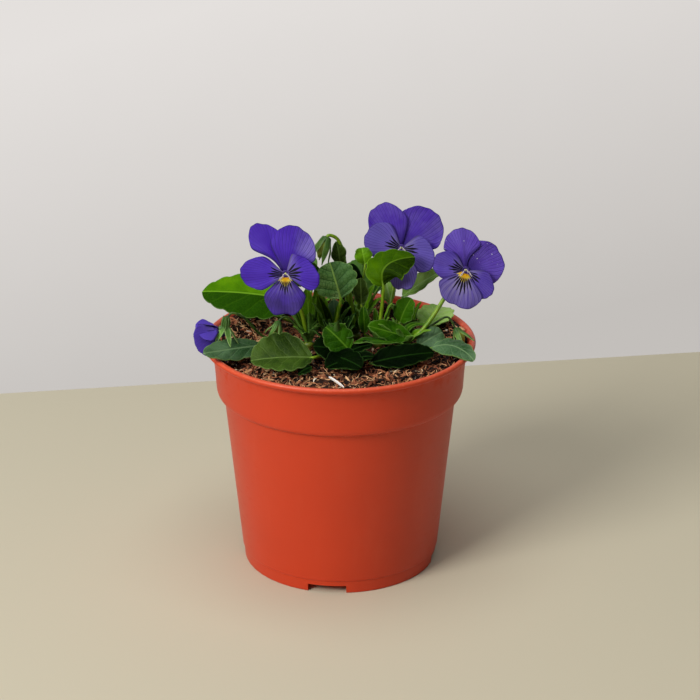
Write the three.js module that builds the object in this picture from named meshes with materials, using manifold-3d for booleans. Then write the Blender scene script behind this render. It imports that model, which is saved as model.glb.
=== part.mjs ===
// A horned violet (Viola cornuta) in a terracotta-coloured plastic nursery pot.
// Millimetres, +Z up. The origin is on the pot's axis, on the floor that the pot stands on,
// and the flowers look towards -Y.

import * as THREE from "three";
import { mergeVertices } from "three/addons/utils/BufferGeometryUtils.js";
import Module from "manifold-3d";

const wasm = await Module();
wasm.setup();

// Driving dimensions of the pot
const POT_HEIGHT = 91;
const LIP_RADIUS = 52.5;
const RIM_RADIUS = 49.2;
const BAND_RADIUS = 48.4;
const BAND_HEIGHT = 80;
const BAND_FOOT_RADIUS = 47.9;
const BAND_FOOT_HEIGHT = 71.8;
const WALL_TOP_RADIUS = 45.1;
const WALL_TOP_HEIGHT = 69.3;
const FOOT_RADIUS = 38.4;
const FOOT_HEIGHT = 5.2;
const FOOT_STEP = 0.4;
const WALL = 1.2;
const FLOOR = 1.6;
const POT_SIDES = 40;

// Drainage channels under the floor, which open as notches in the foot
const CHANNEL_WIDTH = 15;
const CHANNEL_HEIGHT = 3.2;
const CHANNEL_START = 15;
const CHANNEL_COUNT = 4;
const CHANNEL_TURN = 7.9;
const DRAIN_RADIUS = 3;
const DRAIN_DISTANCE = 25;

// Soil
const SOIL_HEIGHT = 86;
const SOIL_RELIEF = 0.55;
const SOIL_RINGS = 5;
const SOIL_SIDES = 26;
const GAP = 0.3;
const HOLE_DEPTH = 9;

// Plant
const BLADE = 0.7;
const STEM_RADIUS = 1.5;
const CROWN_RADIUS = 2.3;
const CROWN_HEIGHT = SOIL_HEIGHT + 2.4;
const PETIOLE_RADIUS = 0.8;
const STALK_RADIUS = 0.85;

// Leaves: where a blade is widest, how round its two ends are, and how deep its edge is cut
const LEAF_WIDEST = 0.45;
const LEAF_BASE_POWER = 0.7;
const LEAF_TIP_POWER = 0.55;
const CRENATION = 0.09;

// Flowers and buds
const HUB_RADIUS = 1.9;
const HUB_THICKNESS = 2.6;
const HUB_SIDES = 6;
const STYLE_RADIUS = 0.9;
const SPUR_RADIUS = 1;
const SPUR_PATH = [[0, -1.6, 1.4], [0, -3.8, -0.4], [0, -4.2, -3.4], [0, -3.6, -6.4]];
const PETAL_RUFFLE = 0.3;
const RECEPTACLE_LENGTH = 3.6;
const SEPAL_ANGLES = [90, 162, 18, 215, -35];
const SEPAL_LENGTH = 7.5;
const SEPAL_WIDTH = 2.6;
const SEPAL_LEAN = -38;
const HOOK_RISE = 1.6;
const HOOK_REACH = 7.2;
const BUD_SIDES = 5;

const UP = new THREE.Vector3(0, 0, 1);
const vector = (point) => new THREE.Vector3(...point);
const radians = THREE.MathUtils.degToRad;

/** Signed volume of an indexed geometry, negative when its faces point in. */
function signedVolume(positions, index) {
  const a = new THREE.Vector3();
  const b = new THREE.Vector3();
  const c = new THREE.Vector3();
  let volume = 0;
  for (let i = 0; i < index.length; i += 3) {
    a.fromArray(positions, 3 * index[i]);
    b.fromArray(positions, 3 * index[i + 1]);
    c.fromArray(positions, 3 * index[i + 2]);
    volume += a.dot(b.cross(c)) / 6;
  }
  return volume;
}

/** A closed geometry as a solid, with its shared vertices merged and its faces pointing out. */
function solidOf(geometry) {
  geometry.deleteAttribute("normal");
  geometry.deleteAttribute("uv");
  const merged = mergeVertices(geometry, 1e-4);
  const positions = merged.attributes.position.array;
  const corners = Array.from(merged.index.array);
  const index = [];
  for (let i = 0; i < corners.length; i += 3) {
    const [a, b, c] = corners.slice(i, i + 3);
    if (a !== b && b !== c && c !== a) index.push(a, b, c);
  }
  if (signedVolume(positions, index) < 0) index.reverse();
  return new wasm.Manifold(new wasm.Mesh({
    numProp: 3,
    vertProperties: new Float32Array(positions),
    triVerts: new Uint32Array(index),
  }));
}

/** A solid as a geometry. */
function geometryOf(solid) {
  const mesh = solid.getMesh();
  const geometry = new THREE.BufferGeometry();
  geometry.setAttribute("position", new THREE.BufferAttribute(mesh.vertProperties, 3));
  geometry.setIndex(new THREE.BufferAttribute(mesh.triVerts, 1));
  geometry.computeVertexNormals();
  return geometry;
}

/** Several solids joined in one, which may lie apart. */
const join = (solids) => solids.reduce((whole, next) => whole.add(next));

/** Several solids fused in one body, without the loose scraps that fusing may leave. */
function fuse(solids) {
  return join(solids).decompose().sort((a, b) => b.volume() - a.volume())[0];
}

/** A profile of [radius, height] points turned round the Z axis. */
function turned(profile, sides = POT_SIDES) {
  const points = profile.map(([radius, height]) => new THREE.Vector2(radius, height));
  return new THREE.LatheGeometry(points, sides).rotateX(Math.PI / 2);
}

/** An upright cylinder from one height to another. */
function post(x, y, low, high, radius, sides = 6) {
  const cylinder = new THREE.CylinderGeometry(radius, radius, high - low, sides);
  return cylinder.rotateX(Math.PI / 2).translate(x, y, (low + high) / 2);
}

/** A round stalk along a smooth curve through the points. */
function tube(points, radius, steps, sides = 5) {
  const section = new THREE.Shape();
  for (let i = 0; i < sides; i += 1) {
    const turn = (2 * Math.PI * i) / sides;
    const [x, y] = [radius * Math.cos(turn), radius * Math.sin(turn)];
    if (i === 0) section.moveTo(x, y);
    else section.lineTo(x, y);
  }
  section.closePath();
  const extrudePath = new THREE.CatmullRomCurve3(points, false, "centripetal");
  return new THREE.ExtrudeGeometry(section, { steps, extrudePath });
}

/** A thin closed blade: a grid of points on its middle surface, thickened both ways along its normals. */
function blade(rows, columns, pointAt) {
  const middle = rows.map((s) => columns.map((t) => pointAt(s, t)));
  const [rowCount, columnCount] = [rows.length, columns.length];
  const side = rowCount * columnCount;
  const positions = new Float32Array(6 * side);
  const normal = new THREE.Vector3();
  const across = new THREE.Vector3();
  for (let i = 0; i < rowCount; i += 1) {
    for (let j = 0; j < columnCount; j += 1) {
      const before = middle[Math.max(i - 1, 0)][j];
      const after = middle[Math.min(i + 1, rowCount - 1)][j];
      const left = middle[i][Math.max(j - 1, 0)];
      const right = middle[i][Math.min(j + 1, columnCount - 1)];
      normal.subVectors(after, before).cross(across.subVectors(right, left)).normalize();
      normal.multiplyScalar(BLADE / 2);
      const at = i * columnCount + j;
      middle[i][j].clone().add(normal).toArray(positions, 3 * at);
      middle[i][j].clone().sub(normal).toArray(positions, 3 * (side + at));
    }
  }
  const index = [];
  for (let i = 0; i + 1 < rowCount; i += 1) {
    for (let j = 0; j + 1 < columnCount; j += 1) {
      const [a, b] = [i * columnCount + j, i * columnCount + j + 1];
      const [c, d] = [a + columnCount, b + columnCount];
      const halves = 2 * j + 2 <= columnCount ? [[a, b, c], [b, d, c]] : [[a, b, d], [a, d, c]];
      for (const [p, q, r] of halves) index.push(p, q, r, side + r, side + q, side + p);
    }
  }
  const rim = [];
  for (let j = 0; j < columnCount; j += 1) rim.push(j);
  for (let i = 1; i < rowCount; i += 1) rim.push(i * columnCount + columnCount - 1);
  for (let j = columnCount - 2; j >= 0; j -= 1) rim.push((rowCount - 1) * columnCount + j);
  for (let i = rowCount - 2; i >= 1; i -= 1) rim.push(i * columnCount);
  rim.forEach((p, k) => {
    const q = rim[(k + 1) % rim.length];
    index.push(q, p, side + p, q, side + p, side + q);
  });
  const geometry = new THREE.BufferGeometry();
  geometry.setAttribute("position", new THREE.BufferAttribute(positions, 3));
  geometry.setIndex(index);
  return geometry;
}

/** Half the width of an ovate blade, as a share of the widest, with its round ends taken in. */
function ovate(s, tipPower) {
  const widest = LEAF_WIDEST;
  const away = s < widest ? (widest - s) / widest : (s - widest) / (1 - widest);
  return Math.max(1 - away * away, 0) ** (s < widest ? LEAF_BASE_POWER : tipPower);
}

/**
 * A leaf blade from its base to its tip, with a crenate edge. The midrib bends towards mid, or is
 * arched by a height where mid isn't given. fold lifts the two halves from the midrib in degrees,
 * and wave lifts and lowers the edges in turn.
 */
function leaf({
  base, tip, face, width, mid, fold = 10, arch = 1, scallops = width < 9 ? 3 : 4, wave = 0.4,
  tipPower = LEAF_TIP_POWER,
}) {
  const [start, end, look] = [vector(base), vector(tip), vector(face).normalize()];
  const bend = mid ? vector(mid) : start.clone().lerp(end, 0.5).addScaledVector(look, 2 * arch);
  const midrib = new THREE.QuadraticBezierCurve3(start, bend, end);
  const rows = [];
  for (let i = 0; i <= 2 * scallops; i += 1) {
    const even = i / (2 * scallops);
    rows.push(0.6 * even + 0.2 * (1 - Math.cos(Math.PI * even)));
  }
  const columns = [-1, 0, 1];
  const lift = Math.sin(radians(fold));
  const spread = Math.cos(radians(fold));
  const pointAt = (s, t) => {
    const tangent = midrib.getTangent(s);
    const side = new THREE.Vector3().crossVectors(tangent, look).normalize();
    const normal = new THREE.Vector3().crossVectors(side, tangent);
    const crenation = rows.indexOf(s) % 2 === 0 ? 1 - CRENATION : 1 + CRENATION / 2;
    const outline = ovate(s, tipPower) * crenation;
    const half = (width / 2) * Math.max(outline, s < 0.5 ? 0.1 : 0.16);
    const edge = wave * Math.sin(3 * Math.PI * s + (t > 0 ? 1 : 0)) * Math.abs(t);
    const point = midrib.getPoint(s).addScaledVector(side, t * half * spread);
    return point.addScaledVector(normal, Math.abs(t) * half * lift + edge);
  };
  return blade(rows, columns, pointAt);
}

/** A leaf's petiole from the crown, which runs a little way along the midrib. */
function petiole(root, { base, tip, mid }) {
  const along = vector(mid ?? tip).sub(vector(base)).normalize();
  const into = vector(base).addScaledVector(along, 0.9);
  const points = [vector(root), vector(base).addScaledVector(along, -0.6), into];
  return tube(points, PETIOLE_RADIUS, 3);
}

/** The frame of a flower: its throat, and its own right, up and forward directions. */
function flowerFrame({ throat, face }) {
  const forward = vector(face).normalize();
  const right = new THREE.Vector3().crossVectors(UP, forward).normalize();
  const up = new THREE.Vector3().crossVectors(forward, right);
  return new THREE.Matrix4().makeBasis(right, up, forward).setPosition(vector(throat));
}

/**
 * A petal that fans out from the throat. angle turns it round the flower's face from the right,
 * lean tips it forward, curl bends its end forward, and notch cuts the middle of its end. skew makes
 * one side of it longer than the other, and a larger claw makes a narrower foot.
 */
function petal({ angle, length, width, lean, layer, curl = 0, notch = 0, skew = 0, claw = 1.35 }) {
  const [right, up] = [Math.cos(radians(angle)), Math.sin(radians(angle))];
  const [flat, rise] = [Math.cos(radians(lean)), Math.sin(radians(lean))];
  return blade([0.04, 0.62, 1], [-1, -0.72, -0.36, 0, 0.36, 0.72, 1], (s, t) => {
    const end = 1 - 0.4 * Math.abs(t) ** 2.6 - notch * Math.exp(-((t / 0.3) ** 2)) + skew * t;
    const reach = length * s * end;
    const sideways = (width / 2) * t * (0.1 + 0.9 * Math.sin((Math.PI / 2) * s ** claw));
    const bend = curl * s * s + PETAL_RUFFLE * s * Math.sin(5 * t + angle);
    const beyond = Math.max(reach - HUB_RADIUS, 0);
    const out = reach - beyond * (1 - flat);
    return new THREE.Vector3(
      out * right - sideways * up,
      out * up + sideways * right,
      layer + beyond * rise + bend,
    );
  });
}

/** The five petals of a flower, fused on their hub with the style's head and the nectar spur. */
function corolla(flower) {
  const middle = 0.5 * GAP + HUB_THICKNESS / 2;
  const hub = new THREE.CylinderGeometry(HUB_RADIUS, HUB_RADIUS, HUB_THICKNESS, HUB_SIDES);
  hub.rotateX(Math.PI / 2).translate(0, 0, middle);
  const style = new THREE.IcosahedronGeometry(STYLE_RADIUS).translate(0, 0.3, GAP + HUB_THICKNESS + 0.2);
  const spur = tube(SPUR_PATH.map(vector), SPUR_RADIUS, 4);
  const pieces = [hub, style, spur, ...flower.petals.map(petal)];
  return fuse(pieces.map((piece) => solidOf(piece.applyMatrix4(flowerFrame(flower)))));
}

/** A pointed sepal that leaves the receptacle at an angle round it and leans back. */
function sepal({ angle, length, lean, layer }) {
  const [right, up] = [Math.cos(radians(angle)), Math.sin(radians(angle))];
  const [flat, rise] = [Math.cos(radians(lean)), Math.sin(radians(lean))];
  return blade([0, 0.45, 1], [-1, 1], (s, t) => {
    const reach = 0.8 + length * s;
    const sideways = (SEPAL_WIDTH / 2) * t * (s === 1 ? 0.24 : 1 - 0.25 * s);
    const out = reach * flat;
    const height = layer + reach * rise;
    return new THREE.Vector3(out * right - sideways * up, out * up + sideways * right, height);
  });
}

/** A flower's stalk, receptacle and sepals. */
function calyx(root, flower) {
  const frame = flowerFrame(flower);
  const back = -0.5 * GAP;
  const receptacle = turned([
    [0, back], [HUB_RADIUS, back], [HUB_RADIUS * 0.9, back - 1.4],
    [STALK_RADIUS, back - RECEPTACLE_LENGTH], [0, back - RECEPTACLE_LENGTH],
  ], HUB_SIDES);
  const { sepal: length = SEPAL_LENGTH, sepalLean: lean = SEPAL_LEAN, hook: rise = HOOK_RISE } = flower;
  const sepals = SEPAL_ANGLES.map((angle) => sepal({ angle, length, lean, layer: back - 1 }));
  const pieces = [receptacle, ...sepals].map((piece) => piece.applyMatrix4(frame));
  const hook = [[0, rise, -HOOK_REACH], [0, 0, back - 2.05]].map((p) => vector(p).applyMatrix4(frame));
  const path = [vector(root), ...flower.via.map(vector), ...hook];
  return [...pieces, tube(path, STALK_RADIUS, 6 + 2 * flower.via.length)];
}

/** A closed bud that hangs from the hook of its stalk, with its sepals along it. */
function bud(root, { seat, points, length, width, via }) {
  const axis = vector(points).normalize();
  const turn = new THREE.Quaternion().setFromUnitVectors(UP, axis);
  const body = turned([
    [0, -0.6], [0.28 * width, -0.4], [0.5 * width, 0.3 * length],
    [0.36 * width, 0.62 * length], [0, 0.86 * length],
  ], BUD_SIDES);
  const sepals = [0, 72, 144, 216, 288].map((angle) => (
    blade([0, 0.5, 1], [-1, 1], (s, t) => {
      const away = width * (0.2 + 0.46 * Math.sin(Math.PI * (0.08 + 0.5 * s)));
      const sideways = width * t * (0.17 + 0.4 * s - 0.5 * s * s);
      const point = new THREE.Vector3(away, sideways, length * s);
      return point.applyAxisAngle(UP, radians(angle));
    })
  ));
  const pieces = [body, ...sepals].map((piece) => {
    return piece.applyQuaternion(turn).translate(...seat);
  });
  const end = vector(seat).addScaledVector(axis, 0.8);
  const path = [vector(root), ...via.map(vector), vector(seat).addScaledVector(axis, -1), end];
  return [...pieces, tube(path, PETIOLE_RADIUS, 4 + 2 * via.length)];
}

/** A narrow stipule, a small pointed leaf without a petiole that stands on the crown. */
const stipule = (shape) => leaf({ ...shape, arch: 0.6, scallops: 3, wave: 0, tipPower: 0.9 });

/** One leafy stem: its foot in the soil, its leaves, stipules, flower stalks and buds. */
function leafyStem({ foot, leaves, stipules = [], flowers = [], buds = [] }) {
  const [x, y] = foot;
  const root = [x, y, CROWN_HEIGHT];
  const low = SOIL_HEIGHT - HOLE_DEPTH + GAP;
  const crown = new THREE.IcosahedronGeometry(CROWN_RADIUS).translate(x, y, CROWN_HEIGHT);
  const pieces = [post(x, y, low, CROWN_HEIGHT, STEM_RADIUS), crown];
  for (const shape of leaves) pieces.push(leaf(shape), petiole(root, shape));
  for (const shape of stipules) pieces.push(stipule(shape));
  for (const flower of flowers) pieces.push(...calyx(root, flower));
  for (const small of buds) pieces.push(...bud(root, small));
  return fuse(pieces.map(solidOf));
}

/** The pot's outer outline, from the axis under the floor up to the lip. */
function outerOutline() {
  return [
    [0, 0], [FOOT_RADIUS - 0.4, 0], [FOOT_RADIUS, FOOT_HEIGHT],
    [FOOT_RADIUS + FOOT_STEP, FOOT_HEIGHT + 0.3], [WALL_TOP_RADIUS, WALL_TOP_HEIGHT],
    [WALL_TOP_RADIUS + 1.5, WALL_TOP_HEIGHT + 0.5], [BAND_FOOT_RADIUS - 0.4, BAND_FOOT_HEIGHT - 1.3],
    [BAND_FOOT_RADIUS, BAND_FOOT_HEIGHT], [BAND_RADIUS, BAND_HEIGHT], [RIM_RADIUS, POT_HEIGHT - 3.2],
    [LIP_RADIUS - 0.6, POT_HEIGHT - 2.2], [LIP_RADIUS, POT_HEIGHT - 1.4],
    [LIP_RADIUS - 0.1, POT_HEIGHT - 0.5], [LIP_RADIUS - 0.7, POT_HEIGHT],
  ];
}

/** The pot's inner outline, from the lip down to the axis on top of the floor. */
function innerOutline(gap = 0) {
  const inset = WALL + gap;
  return [
    [LIP_RADIUS - 2.2 - gap, POT_HEIGHT - 0.3], [RIM_RADIUS - inset, POT_HEIGHT - 3],
    [BAND_FOOT_RADIUS + 0.2 - inset, BAND_FOOT_HEIGHT + 1], [WALL_TOP_RADIUS - inset, WALL_TOP_HEIGHT],
    [FOOT_RADIUS - 0.2 - inset, FOOT_HEIGHT], [FOOT_RADIUS - 1.6 - inset, FLOOR + gap],
    [0, FLOOR + gap],
  ];
}

/** One box for each drainage channel, grown by a margin on its sides, top and inner end. */
function channelBoxes(margin, reach, low) {
  const boxes = [];
  for (let i = 0; i < CHANNEL_COUNT; i += 1) {
    const start = CHANNEL_START - margin;
    const height = CHANNEL_HEIGHT + margin - low;
    const box = new THREE.BoxGeometry(reach - start, CHANNEL_WIDTH + 2 * margin, height);
    box.translate((start + reach) / 2, 0, low + height / 2);
    box.rotateZ(radians((360 / CHANNEL_COUNT) * i - CHANNEL_TURN));
    boxes.push(solidOf(box));
  }
  return join(boxes);
}

/** The pot, with channels raised into its floor and a drain hole through the roof of each. */
function pot() {
  const envelope = solidOf(turned([...outerOutline(), [0, POT_HEIGHT]]));
  const shell = solidOf(turned([...outerOutline(), ...innerOutline()]));
  const roofs = channelBoxes(WALL, FOOT_RADIUS + 5, 0.2).intersect(envelope);
  const holes = [];
  for (let i = 0; i < CHANNEL_COUNT; i += 1) {
    const turn = radians((360 / CHANNEL_COUNT) * i - CHANNEL_TURN);
    const [x, y] = [DRAIN_DISTANCE * Math.cos(turn), DRAIN_DISTANCE * Math.sin(turn)];
    holes.push(solidOf(post(x, y, -1, CHANNEL_HEIGHT + 2 * WALL, DRAIN_RADIUS, 12)));
  }
  const channels = channelBoxes(0, LIP_RADIUS + 5, -2);
  return shell.add(roofs).subtract(channels).subtract(join(holes));
}

/** Height of the soil's relief over its mean level: three crossed ripples that fade at the wall. */
function soilRelief(x, y) {
  const ripples = Math.sin(0.55 * x + 0.2 * y) + Math.sin(0.31 * x - 0.47 * y + 1.3)
    + Math.sin(0.12 * x + 0.62 * y + 2.1);
  const mound = 1 - (x * x + y * y) / (48 * 48);
  return SOIL_RELIEF * (0.55 * ripples + 0.8 * mound - 0.7);
}

/** The soil, which fills the pot up to 5 mm below its lip, with a plain hole for each stem. */
function soil(feet) {
  const edge = RIM_RADIUS - WALL - GAP - 0.4;
  const wall = innerOutline(GAP).slice(2);
  const top = [[0, SOIL_HEIGHT]];
  for (let i = 1; i <= SOIL_RINGS; i += 1) top.push([(edge * i) / SOIL_RINGS, SOIL_HEIGHT]);
  const body = turned([...top, ...wall], SOIL_SIDES);
  const position = body.attributes.position;
  for (let i = 0; i < position.count; i += 1) {
    if (position.getZ(i) < SOIL_HEIGHT - 1) continue;
    position.setZ(i, SOIL_HEIGHT + soilRelief(position.getX(i), position.getY(i)));
  }
  const holeRadius = (STEM_RADIUS + GAP) / Math.cos(Math.PI / 6);
  const holes = feet.map(([x, y]) => (
    solidOf(post(x, y, SOIL_HEIGHT - HOLE_DEPTH, SOIL_HEIGHT + 5, holeRadius))
  ));
  const roofs = channelBoxes(WALL + GAP, FOOT_RADIUS + 5, -1);
  return solidOf(body).subtract(join(holes)).subtract(roofs);
}

// Petals of the four flowers, in the order upper left, upper right, left, right, lower
const FLOWERS = {
  left: {
    throat: [-20.2, -12, 121], face: [-0.05, -0.9, 0.42], via: [[-15, -2.5, 104]],
    petals: [
      { angle: 120, length: 23, width: 16.5, lean: -12, layer: 0.65, curl: 0.8, claw: 3 },
      { angle: 76, length: 18.8, width: 20, lean: -8, layer: 1.4, curl: -0.4, skew: 0.08 },
      { angle: 178, length: 17, width: 14, lean: 4, layer: 2, curl: -0.5 },
      { angle: 12, length: 11.2, width: 16.5, lean: 5, layer: 2.1, curl: -0.6, skew: -0.3 },
      { angle: -90, length: 16.2, width: 17, lean: 9, layer: 2.6, curl: -0.8, notch: 0.06 },
    ],
  },
  middle: {
    throat: [23.7, 12, 122.9], face: [0.02, -0.9, 0.42], via: [[19.5, 13, 99]],
    petals: [
      { angle: 117, length: 19.6, width: 17, lean: -8, layer: 1.4, curl: 0.4 },
      { angle: 46, length: 20.2, width: 21.5, lean: -12, layer: 0.65, curl: 0.4 },
      { angle: 157, length: 14.8, width: 16, lean: 4, layer: 2, curl: -0.5 },
      { angle: -17, length: 13.4, width: 15, lean: 5, layer: 2.1, curl: -0.6, skew: -0.16 },
      { angle: -88, length: 16.8, width: 12.5, lean: 9, layer: 2.6, curl: -0.8, notch: 0.05 },
    ],
  },
  right: {
    throat: [47.4, -8, 121], face: [0.05, -0.92, 0.38], via: [[33, -3.5, 97]],
    petals: [
      { angle: 96, length: 16.4, width: 16, lean: -8, layer: 1.4, curl: 0.4, claw: 3 },
      { angle: 23, length: 16, width: 19, lean: -12, layer: 0.65, curl: 0.4 },
      { angle: 161, length: 12.8, width: 12, lean: 4, layer: 2, curl: -0.5 },
      { angle: -43, length: 12.8, width: 12.5, lean: 5, layer: 2.1, curl: -0.6, skew: -0.08 },
      { angle: -107, length: 14.4, width: 19, lean: 9, layer: 2.6, curl: -0.8, notch: 0.04, skew: 0.06 },
    ],
  },
  nodding: {
    throat: [-45.9, -13, 99.4], face: [-0.86, -0.1, -0.48], via: [[-28.7, -6, 93.6], [-36.7, -11, 103.7]],
    sepal: 7.5, sepalLean: 22, hook: 3.2,
    petals: [
      { angle: 115, length: 12, width: 11, lean: 44, layer: 0.8 },
      { angle: 65, length: 12, width: 11, lean: 44, layer: 1.2 },
      { angle: 188, length: 11.5, width: 10.5, lean: 60, layer: 1.6 },
      { angle: -8, length: 11.5, width: 10.5, lean: 60, layer: 1.6 },
      { angle: -90, length: 11.5, width: 9, lean: 73, layer: 2 },
    ],
  },
};

// The leafy stems, each with its foot in the soil
const STEMS = {
  left: {
    foot: [-12, 1],
    leaves: [
      { base: [-14.5, 8, 102.5], tip: [-53.6, 13, 105.2], face: [0, -0.62, 0.78], width: 19.5, fold: -10,
        arch: 2.4, scallops: 5 },
      { base: [-29.9, -7, 90.6], tip: [-51, -27, 95.2], face: [0.1, -0.66, 0.74], width: 9.6, fold: -6,
        arch: 0.5, scallops: 5 },
    ],
    flowers: [FLOWERS.nodding, FLOWERS.left],
    buds: [{ seat: [-23.4, -2, 98.2], points: [-0.35, -0.2, -0.9], length: 6, width: 3.2,
      via: [[-17, 0, 96], [-20.5, -1, 100]] }],
  },
  front_left: {
    foot: [-1, -9],
    leaves: [
      { base: [-10.6, -19, 90.2], tip: [-33.5, -24, 91], face: [0, -0.45, 0.9], width: 20.5, fold: 22,
        arch: 1, scallops: 5 },
      { base: [3.6, -15, 91.6], tip: [-5.4, -12, 100], face: [0.1, -0.8, 0.6], width: 11.5, fold: 8 },
      { base: [5, -12.5, 89], tip: [-10, -15.5, 93.5], face: [-0.1, -0.6, 0.8], width: 12.5, fold: 6,
        scallops: 5 },
      { base: [8, -17.5, 89.4], tip: [-5, -26.5, 89.2], face: [0, -0.3, 1], width: 12, fold: 10 },
      { base: [-3.5, -17, 90.4], tip: [8, -27.5, 89.6], face: [0, -0.45, 0.9], width: 11, fold: 6 },
    ],
  },
  centre: {
    foot: [-3, 2],
    leaves: [
      { base: [0.3, -4, 108.6], tip: [-3.8, 0.5, 121.6], face: [0.05, -0.9, 0.42], width: 17, fold: 7,
        arch: 0.8, scallops: 5 },
      { base: [-0.7, 4, 92], tip: [-2.5, 6, 104.5], face: [0, -1, 0.2], width: 6.5 },
      { base: [-8, 5, 111], tip: [-11.8, 5, 120.1], face: [0.2, -0.9, 0.4], width: 5 },
      { base: [2.6, 3, 92], tip: [2.4, 4, 104.5], face: [0, -1, 0.2], width: 4.5 },
    ],
    stipules: [{ base: [-3, 1.5, 88.6], tip: [-8.7, 0, 109], face: [0.2, -0.9, 0.3], width: 5.5 }],
  },
  high: {
    foot: [6, 10],
    leaves: [
      { base: [9.6, 4, 119.6], tip: [8.4, 6, 125.6], face: [0, -0.8, 0.6], width: 6.8 },
      { base: [7.5, 6, 105], tip: [4.4, 8, 118.5], face: [0.2, -0.9, 0.2], width: 6 },
      { base: [0.2, 10, 117], tip: [-1.4, 9.5, 127], face: [0.2, -0.9, 0.4], width: 6, tipPower: 0.8 },
    ],
    buds: [{ seat: [-4.8, 7, 129.2], points: [-0.4, -0.15, -0.9], length: 9.8, width: 5.2,
      via: [[3, 11, 112], [-0.8, 9, 128]] }],
  },
  lime: {
    foot: [15, 2],
    leaves: [
      { base: [16.6, -5, 114], mid: [13, -6, 125], tip: [28.8, 2, 123.2], face: [-0.1, -0.55, 0.8],
        width: 16.5, fold: -14, scallops: 5 },
      { base: [19.7, 18, 99.7], tip: [18.1, 20, 106.5], face: [0, -0.9, 0.4], width: 6 },
      { base: [8.3, 3, 103.5], tip: [8, 4, 114], face: [0, -1, 0.2], width: 6 },
      { base: [9.6, 1, 92.5], tip: [9, 2, 103], face: [0, -1, 0.2], width: 4.5 },
    ],
    flowers: [FLOWERS.middle],
  },
  right: {
    foot: [24, -4],
    leaves: [
      { base: [27.3, -6, 93.4], tip: [10.8, -10, 99.6], face: [0, -0.6, 0.8], width: 9.5, fold: 10,
        arch: -0.3, scallops: 5 },
      { base: [24.2, -11.5, 92.6], tip: [5.2, -16, 94.8], face: [0, 0.1, 1], width: 8, fold: 8, scallops: 4 },
      { base: [23.3, 3, 96.2], tip: [27.6, 3, 106], face: [-0.4, -0.8, 0.3], width: 9 },
      { base: [30, -7, 90], tip: [39.5, -2.5, 94.2], face: [0.1, -0.7, 0.7], width: 9.5 },
    ],
    stipules: [{ base: [24.5, -3.5, 89], mid: [24, 0, 99], tip: [34.8, 0.5, 95.6], face: [0, -0.4, 0.9],
      width: 2.8 }],
    flowers: [FLOWERS.right],
    buds: [{ seat: [44.7, -2, 95.2], points: [0.1, -0.3, -0.9], length: 6.5, width: 3.6,
      via: [[36, -1.5, 97], [41.5, -0.5, 99.5]] }],
  },
  front_right: {
    foot: [15, -15],
    leaves: [
      { base: [11.5, -22, 89.2], tip: [35.8, -15, 90.6], face: [0, -0.5, 0.87], width: 11, fold: 10,
        scallops: 5 },
      { base: [35, -13, 91.8], mid: [43.5, -16.5, 97], tip: [50.4, -24, 91], face: [0, -0.35, 0.93],
        width: 10, fold: -8, scallops: 5 },
    ],
  },
  back_right: {
    foot: [27, 12],
    leaves: [
      { base: [24.7, 15, 102.3], tip: [39.2, 18, 111.3], face: [-0.3, -0.6, 0.7], width: 8.5, fold: 30,
        scallops: 4 },
      { base: [34, 10, 91.2], tip: [41, 25, 94.2], face: [-0.1, -0.25, 0.95], width: 15, fold: 8,
        scallops: 5 },
    ],
  },
  back: {
    foot: [8, 24],
    leaves: [
      { base: [14, 30, 98], tip: [22, 46, 103], face: [0, 0.5, 0.85], width: 15 },
      { base: [4, 33, 95], tip: [-2, 50, 97], face: [0, 0.4, 0.9], width: 14 },
      { base: [7, 27, 100], tip: [9, 36, 110], face: [0, 0.85, 0.5], width: 13 },
    ],
  },
  back_left: {
    foot: [-14, 19],
    leaves: [
      { base: [-19, 27, 98], tip: [-30, 40, 102], face: [0, 0.45, 0.87], width: 15 },
      { base: [-26, 19, 93], tip: [-44, 25, 95], face: [-0.2, 0.2, 0.95], width: 12 },
      { base: [-11, 26, 104], tip: [-16, 36, 114], face: [-0.1, 0.8, 0.6], width: 13 },
    ],
  },
};

const FINISHES = {
  pot: { color: 0xc24a2c, roughness: 0.42 },
  soil: { color: 0x4a2c1e, roughness: 0.95 },
  leaf: { color: 0x3f7a24, roughness: 0.5 },
  petal: { color: 0x4b32aa, roughness: 0.6 },
};

const plant = new THREE.Group();

/** Adds one named mesh with its own material. */
function place(name, solid, finish) {
  const mesh = new THREE.Mesh(geometryOf(solid), new THREE.MeshStandardMaterial({ ...finish, metalness: 0 }));
  mesh.name = name;
  plant.add(mesh);
}

place("pot", pot(), FINISHES.pot);
place("soil", soil(Object.values(STEMS).map(({ foot }) => foot)), FINISHES.soil);
for (const [name, stem] of Object.entries(STEMS)) place(`stem_${name}`, leafyStem(stem), FINISHES.leaf);
for (const [name, flower] of Object.entries(FLOWERS)) {
  place(`corolla_${name}`, corolla(flower), FINISHES.petal);
}

export default plant;
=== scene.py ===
"""A potted horned violet, Viola cornuta.

Three open violet-blue flowers, a fourth that nods over the pot's edge, buds and scalloped leaves
grow from brown soil in a terracotta-coloured plastic nursery pot.

Sizes are in millimetres in the part's own frame: the origin is on the pot's axis, on the surface
that the pot stands on, +Z is up and the flowers face -Y. Meshes are written in metres.
"""

import logging
import math
from dataclasses import dataclass
from enum import Enum

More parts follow.
